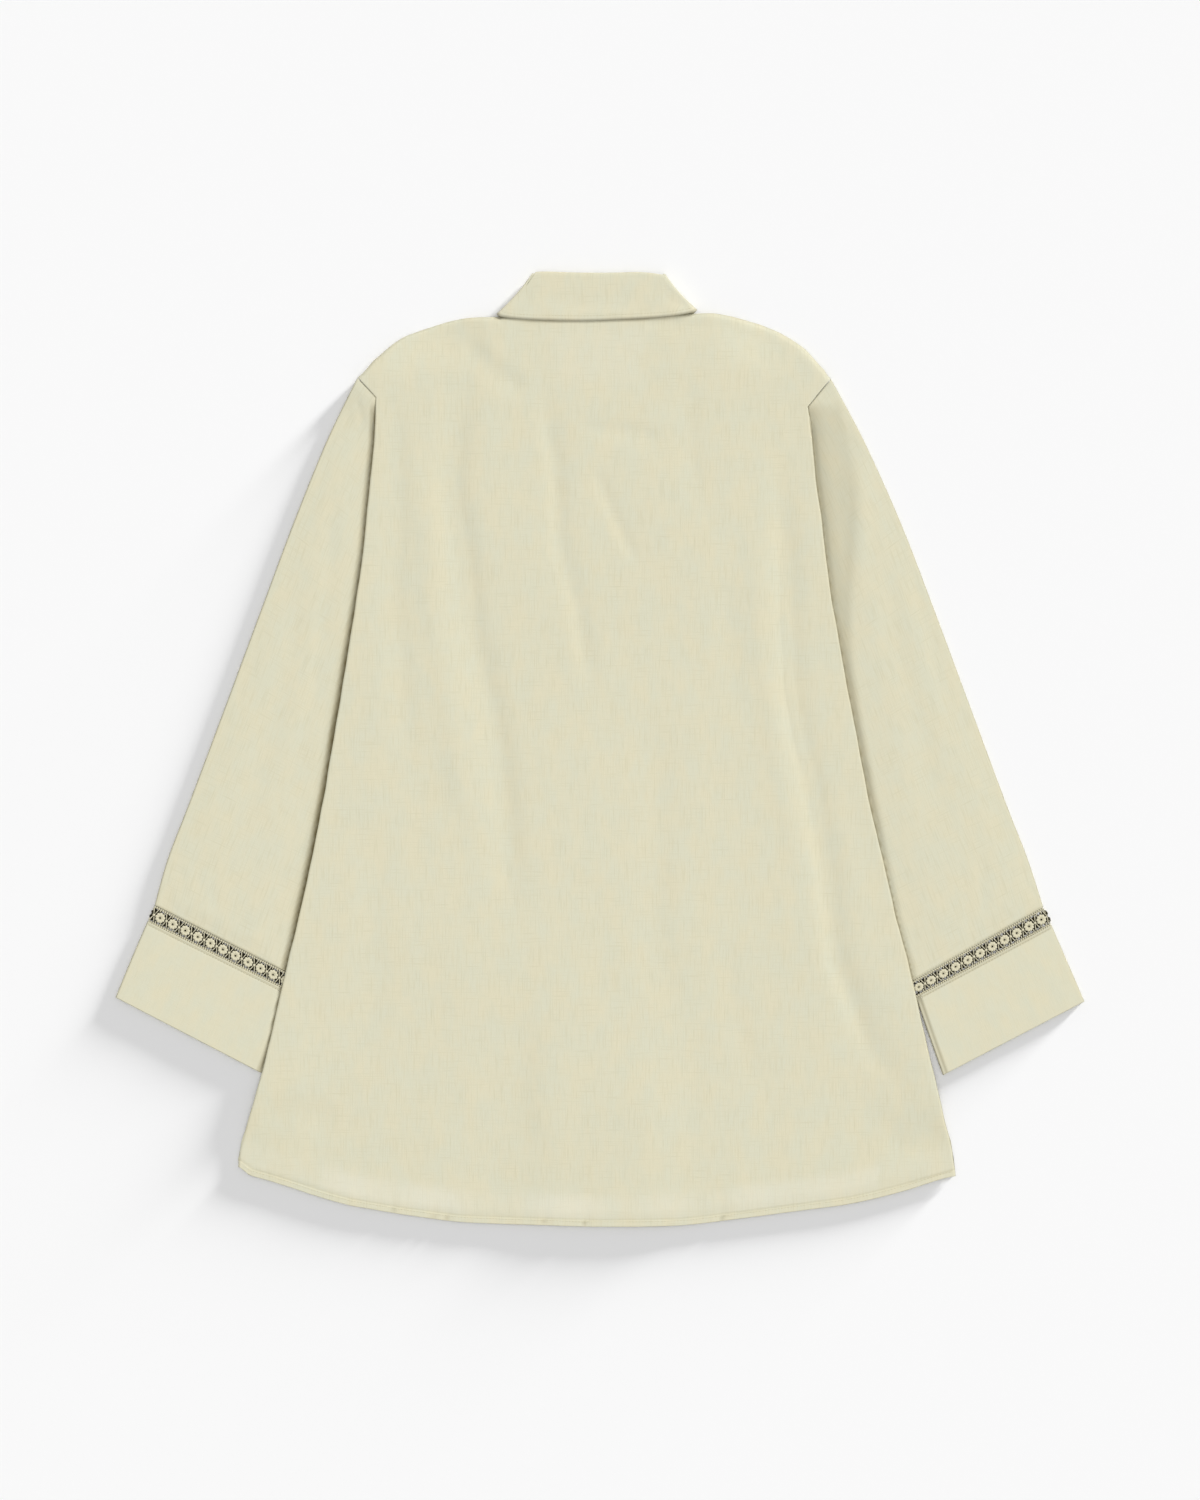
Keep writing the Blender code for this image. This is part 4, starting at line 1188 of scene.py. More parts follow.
@dataclass
class Tube:
    """A flattened cloth tube: floor wall, outer fold, upper wall and inner fold."""

    side: Side
    top_columns: int = 70
    bottom_columns: int = 22
    fold_columns: int = 8
    fold_reach: float = 1.6
    fold_shade: float = 0.4

    @property
    def columns(self) -> int:
        """Faces round the tube."""
        return self.top_columns + self.bottom_columns + 2 * self.fold_columns

    def top_height(self, x: float, y: float, from_outer: float, along: float) -> float:
        """Height of the upper wall at a plan point; along is the distance down the tube."""
        raise NotImplementedError

    def top_shade(self, x: float, y: float, along: float) -> float:
        """Fold shade of the upper wall at a plan point."""
        raise NotImplementedError

    def ring_point(self, row: Sequence[float], column: int, along: float) -> ClothPoint:
        """Cloth point of one section.

        Args:
            row: the section's outer and inner points.
            column: which column round the tube, from the inner end of the floor wall.
            along: distance down the tube in mm.

        Returns:
            The point.
        """
        width = section_width(row)
        start = self.fold_reach / width
        span = 1.0 - 2.0 * start
        bottom, fold, top = self.bottom_columns, self.fold_columns, self.top_columns
        if column <= bottom:
            share = start + span * (1.0 - column / bottom)
            x, y = section_point(row, share)
            return ClothPoint(x, y, 0.0, -share * width, along)
        if column < bottom + fold:
            return self.fold_point(row, start, 0.0, (column - bottom) / fold, along)
        if column <= bottom + fold + top:
            share = start + span * (column - bottom - fold) / top
            x, y = section_point(row, share)
            z = self.top_height(x, y, share * width, along)
            return ClothPoint(x, y, z, share * width, along, self.top_shade(x, y, along))
        return self.fold_point(row, start, 1.0, (column - bottom - fold - top) / fold, along)

    def fold_point(
            self, row: Sequence[float], start: float, end: float, turn: float, along: float) -> ClothPoint:
        """Cloth point on a round fold; end is 0 at the outer fold, turn runs from 0 to 1."""
        width = section_width(row)
        share = start if end == 0.0 else 1.0 - start
        x, y = section_point(row, share)
        height = self.top_height(x, y, share * width, along)
        angle = math.pi * (turn if end == 0.0 else 1.0 - turn)
        reach = start * (1.0 - math.sin(angle))
        x, y = section_point(row, reach if end == 0.0 else 1.0 - reach)
        z = 0.5 * height * (1.0 - math.cos(angle))
        u = (reach if end == 0.0 else 1.0 - reach) * width
        return ClothPoint(x, y, z, u, along, self.fold_shade * math.sin(angle))

    def build_tube(
            self, name: str, table: Sequence[SleeveRow], rows: int, cloth: Material,
            slot: str) -> Object:
        """Build the tube through a table's sections.

        Args:
            name: the solid it stands for, without its side.
            table: sections down the tube.
            rows: faces along it.
            cloth: its finish.
            slot: not used.

        Returns:
            The piece.
        """
        sections = [spline(table, (len(table) - 1) * step / rows) for step in range(rows + 1)]
        along = distances_down(sections)
        count = self.columns
        word = self.side.word
        return add_cloth(
            f"{name}_cloth_{word}", (count, rows),
            lambda column, row: self.ring_point(sections[row], column % count, along[row]),
            cloth, f"{name}_{word}", tube=True)


@dataclass
class Sleeve(Tube):
    """Sleeve laid flat, softly raised outside the body, with a deep soft dip along the body's edge."""

    rows: int = 140
    bulge: float = 0.8
    bulge_in: Pair = (5.0, 34.0)
    bulge_from_outer: float = 26.0
    end_calm: float = 16.0
    end_relief: float = 0.35
    relief: float = 0.55
    relief_in: Pair = (1.0, 6.0)
    relief_from_outer: float = 14.0
    slant: float = 0.38
    ripples: tuple[Ripple, ...] = (Ripple(0.4, 46, 0.5, 11), Ripple(0.16, 17, 0.6, 12))
    fine_ripple: Ripple = Ripple(0.06, 8.0, 1.0, 13.0)
    cap: Band = Band(1.0, 0.0, 34.0)
    cap_rise: float = 2.5
    cap_overlap: float = 1.5
    cap_filling: float = 0.8
    dip: float = 1.5
    dip_at: float = 0.8
    dip_width: float = 2.2
    dip_widening: Band = Band(2.6, 30.0, 120.0)
    least_height: float = 1.3
    left_line: Band = Band(0.88, 0.6, 1.5)
    left_strip: Band = Band(0.55, 3.4, 2.8)
    strip_middle: float = 0.8
    strip_wave: Ripple = Ripple(0.5, 34.0, 1.0, 17.0)
    left_wide: Band = Band(0.3, 0.0, 11.0)
    wide_below: Band = Band(1.0, 20.0, 150.0)
    wide_above: Pair = (-190.0, 60.0)
    right_line: Band = Band(0.7, 0.5, 1.5)
    right_wide: Band = Band(0.2, 0.0, 16.0)
    valley_shade: float = 0.17
    valley_edge: float = 9.0
    valley_above: Pair = (-150.0, 120.0)
    cap_light: float = 0.93
    cap_above: Pair = (296.0, 12.0)
    seam_shade: Groove = Groove(0.2, -0.8, 0.8)
    valley: tuple[Point2, ...] = (
        (-150, 266), (-80, 251), (0, 235), (60, 225), (100, 221), (140, 221),
        (180, 223.5), (220, 224.5), (260, 221), (300, 212))
    creases: dict[Side, tuple[Crease, ...]] = field(default_factory=lambda: {
        Side.LEFT: (
            Crease(0.9, 3, 1, ((-216, 314), (-211, 298), (-208, 284))),
            Crease(0.8, 9, 1.5, ((-262, 190), (-270, 90), (-292, 0), (-316, -80))),
            Crease(0.7, 8, 0.7, ((-236, 240), (-238, 150), (-252, 50), (-274, -40))),
            Crease(-0.6, 9, 1, ((-222, 250), (-226, 180), (-238, 90))),
            Crease(0.35, 4.5, 1.2, ((-369, -100), (-366, -119), (-366, -140))),
            Crease(0.3, 4, 1.2, ((-352, -92), (-353, -115), (-357, -145))),
            Crease(0.3, 4, 1.2, ((-343, -86), (-339, -115), (-340, -150))),
            Crease(0.25, 4.5, 1.2, ((-310, -118), (-313, -142), (-317, -166))),
        ),
        Side.RIGHT: (
            Crease(1.7, 8, 1.6, (
                (213, 316), (218, 285), (221, 235), (216, 180), (212, 130),
                (216.0, 70.0))),
            Crease(-0.7, 6, 1, ((228, 262), (231, 230), (231, 180), (226, 130))),
            Crease(0.8, 9, 1.4, ((250, 190), (262, 90), (286, 0), (308, -80))),
            Crease(0.6, 8, 0.8, ((276, 170), (296, 70), (318, -10))),
            Crease(0.3, 4, 1.2, ((321, -104), (322, -128), (325, -160))),
            Crease(0.35, 4, 1.2, ((335, -88), (337, -118), (340, -152))),
            Crease(0.25, 4.5, 1.2, ((362, -98), (361, -119), (364, -142))),
        ),
    })

    def __post_init__(self) -> None:
        """Prepare this side's creases, the seam at its cap and its length."""
        self.folds = CreaseMap(self.creases[self.side])
        self.cap_seam = SIDE_LINES[self.side][-2:]
        self.length = distances_down(SLEEVES[self.side])[-1]

    def top_height(self, x: float, y: float, from_outer: float, along: float) -> float:
        """Height of the upper wall: level under the body, dipped at its edge, raised outside it."""
        outside = outside_body(x, y, self.side)
        end = smooth((self.length - along) / self.end_calm)
        rise = ease_in(outside, *self.bulge_in) * smooth(from_outer / self.bulge_from_outer)
        z = TUBE_HEIGHT + self.bulge * rise * end
        soft = smooth(from_outer / self.relief_from_outer) * ease_in(outside, *self.relief_in)
        soft *= self.end_relief + (1.0 - self.end_relief) * end
        z += self.relief * soft * (self.folds.height(x, y) + self.unevenness(x, y))
        cap = self.cap.at(distance_to_path(x, y, self.cap_seam))
        cap *= ease_in(outside, -self.cap_overlap, self.cap_overlap)
        z += self.cap_rise * cap
        width = self.dip_width + (self.dip_widening.at(y) if self.side is Side.LEFT else 0.0)
        z -= (1.0 - self.cap_filling * cap) * self.dip * bell(outside - self.dip_at, width)
        return max(z, self.least_height)

    def unevenness(self, x: float, y: float) -> float:
        """Small softness of the sleeve's cloth, longer along the sleeve than across."""
        lean = x - y * self.slant * self.side.value
        return sum(ripple.at(lean, y) for ripple in self.ripples) + self.fine_ripple.at(x, y)

    def top_shade(self, x: float, y: float, along: float) -> float:
        """Shade deep beside the body's edge and at the seam to the lace."""
        outside = outside_body(x, y, self.side)
        beside = self.left_shade(y, outside) if self.side is Side.LEFT else self.right_shade(x, y, outside)
        beside *= 1.0 - self.cap_light * ease_in(y, *self.cap_above)
        return min(1.0, max(beside, self.seam_shade.at(along - self.length)))

    def left_shade(self, y: float, outside: float) -> float:
        """A dark line beside the body, a wavy strip next to it and a wide soft one lower down."""
        wavy = self.strip_middle + self.strip_wave.at(y, 0.0)
        strip = max(self.left_line.at(outside), wavy * self.left_strip.at(outside))
        low = self.wide_below.at(y) * ease_in(y, *self.wide_above)
        return strip + low * self.left_wide.at(outside)

    def right_shade(self, x: float, y: float, outside: float) -> float:
        """A dark line beside the body and a broad valley next to it."""
        valley = smooth((height_at(self.valley, y) - x) / self.valley_edge + 0.5)
        valley *= ease_in(y, *self.valley_above)
        return max(self.right_line.at(outside), valley * (self.valley_shade + self.right_wide.at(outside)))

    def build(self, cloth: Material) -> Object:
        """Build the sleeve from its finish and give the piece."""
        return self.build_tube("sleeve", SLEEVES[self.side], self.rows, cloth, "cloth")


@dataclass
class Cuff(Tube):
    """Wide doubled cuff laid flat, smoother than the sleeve, with a raised seam at its top."""

    rows: int = 44
    bulge: float = 0.3
    bulge_from_outer: float = 20.0
    ripples: tuple[Ripple, ...] = (Ripple(0.22, 34, 1, 21), Ripple(0.06, 9, 1, 22))
    ripple_from_outer: float = 10.0
    seam_groove: Groove = Groove(0.4, 1.6, 0.9)
    edge_dip: Groove = Groove(1.2, 0.6, 2.0)
    seam_shade: Groove = Groove(0.3, 1.6, 0.9)
    doubled_shade: Groove = Groove(0.85, 3.2, 0.8)
    edge_shade: Band = Band(0.75, 0.6, 1.6)

    def __post_init__(self) -> None:
        """Prepare the line of the doubled inner edge."""
        self.inner_edge = [(row.inner_x, row.inner_y) for row in CUFF_ROWS[self.side]]

    def top_height(self, x: float, y: float, from_outer: float, along: float) -> float:
        """Height of the upper wall, with the seam's groove and a little softness."""
        low = self.seam_groove.at(along) + self.edge_dip.at(outside_body(x, y, self.side))
        soft = sum(ripple.at(x, y) for ripple in self.ripples) * smooth(from_outer / self.ripple_from_outer)
        return TUBE_HEIGHT + self.bulge * smooth(from_outer / self.bulge_from_outer) - low + soft

    def top_shade(self, x: float, y: float, along: float) -> float:
        """Shade in the seam's groove, along the doubled inner edge and beside the body's edge."""
        doubled = self.doubled_shade.at(distance_to_path(x, y, self.inner_edge))
        return max(self.seam_shade.at(along), doubled, self.edge_shade.at(outside_body(x, y, self.side)))

    def build(self, cloth: Material) -> Object:
        """Build the cuff from its finish and give the piece."""
        return self.build_tube("cuff", CUFF_ROWS[self.side], self.rows, cloth, "cuff_cloth")


def add_bead(
        shape: BMesh, start: Vector, end: Vector, radius: float, flatten: float = 1.0,
        fineness: int = 1) -> None:
    """Add one rounded piece of yarn between two points.

    Args:
        shape: the bmesh to add to, in metres.
        start, end: the piece's ends in mm.
        radius: half its width in mm.
        flatten: its height as a share of its width.
        fineness: the icosphere's subdivisions.
    """
    run = end - start
    turn = run.to_track_quat("X", "Z").to_matrix().to_4x4()
    scale = Matrix.Diagonal((run.length / 2.0, radius, radius * flatten, 1.0))
    matrix = Matrix.Scale(MM, 4) @ Matrix.Translation((start + end) / 2.0) @ turn @ scale
    bmesh.ops.create_icosphere(shape, subdivisions=fineness, radius=1.0, matrix=matrix)


@dataclass
class LaceBand:
    """One layer of the cotton lace: round flowers of little petals, knots between them and two headers."""

    side: Side
    layer: Layer
    levels: Pair = (0.55, 2.75)
    limits: Pair = (0.6, 2.6)
    end_share: float = 0.003
    end_margin: float = 3.0
    petals: int = 9
    flower_radius: float = 4.7
    petal_radius: float = 1.45
    petal_rise: float = 0.58
    petal_lift: float = 0.05
    eyelet_ring: float = 1.27
    eyelet_yarn: float = 0.504
    eyelet_flatness: float = 0.95
    raised: float = 0.15
    knot_radius: float = 1.2
    yarn: float = 0.45
    yarn_rise: float = 0.42
    bar_start: float = 0.3
    bar_end: float = 2.6
    tie_start: float = 3.8
    tie_end: float = 4.2
    tie_overlap: float = 0.9
    bar_inset: float = 0.5
    rail_inset: float = 0.9
    rails: tuple[tuple[float, float], ...] = ((-0.1, 0.55), (0.8, 0.5))
    rail_overlap: float = 0.15
    rail_flatness: float = 0.8
    picot_pitch: float = 2.05
    picot_ends: Pair = (0.1, 0.95)
    picot_radius: float = 0.35

    def __post_init__(self) -> None:
        """Work out the band's size and where its repeats start."""
        self.top, self.low = LACE_ROWS[self.side]
        self.length = section_width(self.top)
        self.width = math.dist(self.top[:2], self.low[:2])
        self.repeats = int((self.length - 2.0 * self.end_margin) / LACE_PITCH)
        self.margin = (self.length - self.repeats * LACE_PITCH) / 2.0

    def build(self, cotton: Material) -> Object:
        """Build the band from its finish and give the piece."""
        shape = bmesh.new()
        shift = 0.0 if self.layer is Layer.UPPER else 0.5
        for index in range(self.repeats + 1):
            self.add_flower(shape, self.margin + (index - shift) * LACE_PITCH)
            self.add_knot(shape, self.margin + (index - 0.5 + shift) * LACE_PITCH)
        for edge in (-1.0, 1.0):
            self.add_header(shape, edge)
        words = f"{self.side.word}_{self.layer.value}"
        return add_piece(f"lace_band_{words}", shape, cotton, (f"lace_{words}",))

    def place(self, along: float, across: float, lift: float = 0.0) -> Vector:
        """Point of the band in mm: along it from the outer fold, across from its middle line."""
        share = max(self.end_share, min(1.0 - self.end_share, along / self.length))
        low, top = section_point(self.low, share), section_point(self.top, share)
        x, y = blend(low, top, 0.5 + across / self.width)
        rise = lift - max(0.0, -along, along - self.length)
        if self.layer is Layer.UPPER:
            return Vector((x, y, max(self.limits[0], self.levels[1] + rise)))
        return Vector((x, y, min(self.limits[1], self.levels[0] - rise)))

    def add_flower(self, shape: BMesh, along: float) -> None:
        """Add a flower: a ring of petals round a small ring with an eyelet."""
        def ring(radius: float, step: float, lift: float) -> Vector:
            """Point on a ring round the flower's middle."""
            angle = 2.0 * math.pi * step / self.petals
            return self.place(along + radius * math.cos(angle), radius * math.sin(angle), lift)

        for index in range(self.petals):
            step = index + 0.5
            inner, outer = ring(self.eyelet_ring, step, self.petal_lift), ring(self.flower_radius, step, 0.0)
            add_bead(shape, inner, outer, self.petal_radius, self.petal_rise / self.petal_radius, 2)
            start, end = (ring(self.eyelet_ring, at, self.raised) for at in (step, step + 1.0))
            add_bead(shape, start, end, self.eyelet_yarn, self.eyelet_flatness)

    def add_knot(self, shape: BMesh, along: float) -> None:
        """Add a knot with its four crossing bars and its ties to the flowers."""
        half = self.knot_radius
        start, end = (self.place(along + reach, 0.0, self.raised) for reach in (-half, half))
        add_bead(shape, start, end, self.knot_radius, self.petal_rise / self.knot_radius, 2)
        flat = self.yarn_rise / self.yarn
        reach = self.width / 2.0 - self.bar_inset
        for out in (-1.0, 1.0):
            for up in (-1.0, 1.0):
                start = self.place(along + out * self.bar_start, up * self.bar_start)
                add_bead(shape, start, self.place(along + out * self.bar_end, up * reach), self.yarn, flat)
                start = self.place(along + out * self.tie_start, up * (self.flower_radius - self.tie_overlap))
                add_bead(shape, start, self.place(along + out * self.tie_end, up * reach), self.yarn, flat)

    def add_header(self, shape: BMesh, edge: float) -> None:
        """Add one header: two close yarns joined by little bars, with picots along its outside."""
        rail = self.width / 2.0 - self.rail_inset
        steps = round(self.length / self.picot_pitch)
        for step in range(steps):
            start = self.length * step / steps
            end = self.length * (step + 1) / steps
            for offset, radius in self.rails:
                first = self.place(start - self.rail_overlap, edge * (rail + offset))
                last = self.place(end + self.rail_overlap, edge * (rail + offset))
                add_bead(shape, first, last, radius, self.rail_flatness)
            middle = 0.5 * (start + end)
            root, tip = (self.place(middle, edge * (rail + offset)) for offset in self.picot_ends)
            add_bead(shape, root, tip, self.picot_radius, self.rail_flatness)


class Station(NamedTuple):
    """One station round the collar: its top and low points, level, facing, and how tightly it is pulled."""

    top: Point2
    low: Point2
    level: float
    facing: tuple[float, float, float]
    pull: float = 0.0

    @property
    def is_up(self) -> bool:
        """Whether it faces up, on the back of the collar."""
        return self.facing[2] > 0.5


def fold_stations(
        top: Point2, low: Point2, sign: float, low_level: float, high_level: float,
        steps: int) -> list[Station]:
    """Stations round a side fold of the collar, from the low level to the high level.

    Args:
        top, low: the fold's points where it is level.
        sign: -1 on the left and 1 on the right.
        low_level, high_level: heights of the cloth under and over the fold.
        steps: how many turns it is divided into.

    Returns:
        The stations between the two levels.
    """
    length = math.dist(top, low)
    out_x = sign * abs(top[1] - low[1]) / length
    out_y = abs(top[0] - low[0]) / length
    radius = (high_level - low_level) / 2.0
    stations = []
    for step in range(1, steps):
        angle = math.pi * step / steps
        reach = radius * math.sin(angle)
        facing = (out_x * math.sin(angle), out_y * math.sin(angle), -math.cos(angle))
        stations.append(Station(
            (top[0] + out_x * reach, top[1] + out_y * reach),
            (low[0] + out_x * reach, low[1] + out_y * reach),
            low_level + radius * (1.0 - math.cos(angle)), facing, 1.0))
    return stations


@dataclass
class CollarFall:
    """The collar's folded-down fall: doubled cloth with a rolled top edge and a lifted right corner."""

    rows: int = 16
    roll_rows: int = 4
    roll: float = 0.8
    flap_steps: int = 24
    back_steps: int = 64
    fold_steps: int = 10
    fold_pull: float = 2.0
    pull_steps: float = 6.0
    front_level: float = FLOOR_LEVEL
    back_level: float = 7.4
    deepest: float = 0.3
    ripple: Ripple = Ripple(0.16, 16.0, 1.0, 31.0)
    edge_ripple: Ripple = Ripple(0.3, 14.0, 1.0, 33.0)
    edge_ripple_reach: Band = Band(1.0, 0.0, 9.0)
    lift: Band = Band(1.5, 0.0, 13.0)
    lift_from: Pair = (50.0, 22.0)
    edge_shade: Band = Band(0.3, 0.0, 0.8)
    cloth_at: float = 420.0
    cloth_slope: float = 3.0
    left_front: tuple[FallRow, ...] = (
        FallRow(-11.0, 346.0, -62.0, 292.0),
        FallRow(-38.0, 383.0, -76.0, 338.0),
        FallRow(-57.0, 416.0, -88.0, 380.6),
    )
    back: tuple[FallRow, ...] = (
        FallRow(-57.0, 418.6, -88.0, 380.6),
        FallRow(-48.0, 419.0, -69.0, 378.2),
        FallRow(-18.0, 418.0, -19.0, 376.6),
        FallRow(12.0, 418.0, 21.0, 378.0),
        FallRow(36.0, 418.6, 60.0, 380.5),
        FallRow(54.5, 416.6, 82.6, 384.2),
    )
    right_front: tuple[FallRow, ...] = (
        FallRow(54.5, 415.6, 82.6, 384.2),
        FallRow(38.0, 382.0, 74.0, 340.0),
        FallRow(11.0, 346.0, 62.0, 292.0),
    )
    creases: tuple[Crease, ...] = (
        Crease(0.9, 3.2, 1.4, ((54, 404), (68, 396), (80, 388))),
        Crease(0.35, 6, 1.2, ((-58, 398), (-10, 394), (40, 397))),
        Crease(0.4, 4, 1.2, ((-80, 390), (-66, 402), (-58, 414))),
        Crease(-0.35, 4, 1.2, ((-50, 384), (-5, 382), (40, 384))),
    )

    def stations(self) -> list[Station]:
        """Stations from the left flap round the back to the right flap."""
        left, right = self.left_front[-1], self.right_front[0]
        flaps = [
            [self.flap_station(spline(rows, (len(rows) - 1) * step / self.flap_steps))
             for step in range(self.flap_steps + 1)]
            for rows in (self.left_front, self.right_front)]
        folds = [
            fold_stations(row[:2], row[2:], sign, self.front_level, self.back_level, self.fold_steps)
            for row, sign in ((left, -1.0), (right, 1.0))]
        back = []
        for step in range(self.back_steps + 1):
            row = spline(self.back, (len(self.back) - 1) * step / self.back_steps)
            pull = smooth(1.0 - min(step, self.back_steps - step) / self.pull_steps)
            back.append(Station(row[:2], row[2:], self.back_level, (0.0, 0.0, 1.0), pull))
        return flaps[0] + folds[0] + back + folds[1][::-1] + flaps[1]

    def flap_station(self, row: Sequence[float]) -> Station:
        """Station of a front flap, face down on the floor."""
        return Station(row[:2], row[2:], self.front_level, (0.0, 0.0, -1.0))

    def surface(self, station: Station, share: float, folds: CreaseMap) -> Vector:
        """Point of the fall's middle surface; share runs from its low edge to its top edge."""
        x, y = blend(station.low, station.top, share)
        sign = -1.0 if x < 0.0 else 1.0
        x -= sign * self.fold_pull * station.pull * math.sin(math.pi * min(1.0, share))
        z = station.level
        if station.is_up:
            from_low = share * math.dist(station.low, station.top)
            z += folds.height(x, y) + self.ripple.at(x, y)
            z += self.lift.at(from_low) * ease_in(x, *self.lift_from)
            z += self.edge_ripple.at(x, 0.0) * self.edge_ripple_reach.at(from_low)
            z = max(z, self.back_level - self.deepest)
        return Vector((x, y, z))

    def build(self, cloth: Material) -> Object:
        """Build the fall from its finish and give the piece."""
        folds = CreaseMap(self.creases)
        stations = self.stations()

        def place(column: int, row: int) -> ClothPoint:
            """Cloth point of a station and row, with the roll above the top edge."""
            station = stations[column]
            point = self.surface(station, min(1.0, row / self.rows), folds)
            if row > self.rows:
                turn = math.pi * (row - self.rows) / self.roll_rows
                ahead = (Vector(station.top) - Vector(station.low)).normalized().to_3d()
                point += ahead * self.roll * math.sin(turn)
                point -= Vector(station.facing) * self.roll * (1.0 - math.cos(turn))
            u = point.x + self.cloth_slope * point.z
            v = self.cloth_at + math.dist(station.low, station.top) * row / self.rows
            return ClothPoint(*point, u, v, self.edge_shade.at(row))

        size = (len(stations) - 1, self.rows + self.roll_rows)
        return add_cloth(
            "collar_fall_cloth", size, place, cloth, "collar_fall", thickness=DOUBLED_THICKNESS)

    def stitch_path(self, inset: float) -> list[Vector]:
        """Points of the edge stitching on the back of the fall, inset from its low edge in mm."""
        folds = CreaseMap(self.creases)
        face = Vector((0.0, 0.0, DOUBLED_THICKNESS / 2.0))
        return [
            self.surface(station, inset / math.dist(station.low, station.top), folds) + face
            for station in self.stations() if station.is_up]


@dataclass
class CollarStand:
    """The collar's standing band, joined to the neckline and buttoned at the front."""

    rows: int = 8
    top_left: Point2 = (-58.0, 414.0)
    top_right: Point2 = (53.0, 413.6)
    front_width: float = 33.0
    front_level: float = FLOOR_LEVEL + BUTTON_LIFT
    back_level: float = 6.0
    front_steps: int = 26
    back_steps: int = 36
    fold_steps: int = 8
    neck_power: int = 6
    seam_shade: Band = Band(0.3, 0.0, 0.8)
    cloth_at: float = 520.0
    cloth_slope: float = 2.0

    def front_station(self, share: float, side: Side) -> Station:
        """Station of the front part, 0 at the side fold and 1 at the lap's edge."""
        panel = FrontPanel(side)
        low, neck = panel.neck_point(share), panel.neck_point(0.0)
        start = self.top_left if side is Side.LEFT else self.top_right
        top_x = start[0] + (-side.value * LAP_HALF - start[0]) * share
        rise = (start[1] - neck[1]) * (1.0 - share) + self.front_width * share
        level = self.front_level + (lap_rise(low[0]) if side is Side.LEFT else 0.0)
        seam = low[1] + SEAM_GAP + WALL * (1.0 - share) ** self.neck_power
        return Station((top_x, low[1] + SEAM_GAP + rise), (low[0], seam), level, (0.0, 0.0, -1.0))

    def stations(self) -> list[Station]:
        """Stations from the left front end round the back to the right front end."""
        steps = self.front_steps
        left_part, right_part = (
            [self.front_station(step / steps, side) for step in range(steps + 1)] for side in Side)
        left, right = left_part[0], right_part[0]
        folds = [
            fold_stations(end.top, end.low, sign, self.front_level, self.back_level, self.fold_steps)
            for end, sign in ((left, -1.0), (right, 1.0))]
        back = []
        for step in range(self.back_steps + 1):
            share = step / self.back_steps
            low = blend(left.low, right.low, share)
            seam = low[1] - WALL + WALL * abs(2.0 * share - 1.0) ** self.neck_power
            top = blend(left.top, right.top, share)
            back.append(Station(top, (low[0], seam), self.back_level, (0.0, 0.0, 1.0)))
        return left_part[::-1] + folds[0] + back + folds[1][::-1] + right_part

    def build(self, cloth: Material) -> Object:
        """Build the stand from its finish and give the piece."""
        stations = self.stations()

        def place(column: int, row: int) -> ClothPoint:
            """Cloth point of a station and row."""
            station = stations[column]
            share = row / self.rows
            x, y = blend(station.low, station.top, share)
            u = x + self.cloth_slope * station.level
            v = self.cloth_at + share * self.front_width
            return ClothPoint(x, y, station.level, u, v, self.seam_shade.at(row))

        return add_cloth(
            "collar_stand_cloth", (len(stations) - 1, self.rows), place, cloth, "collar_stand",
            thickness=DOUBLED_THICKNESS)


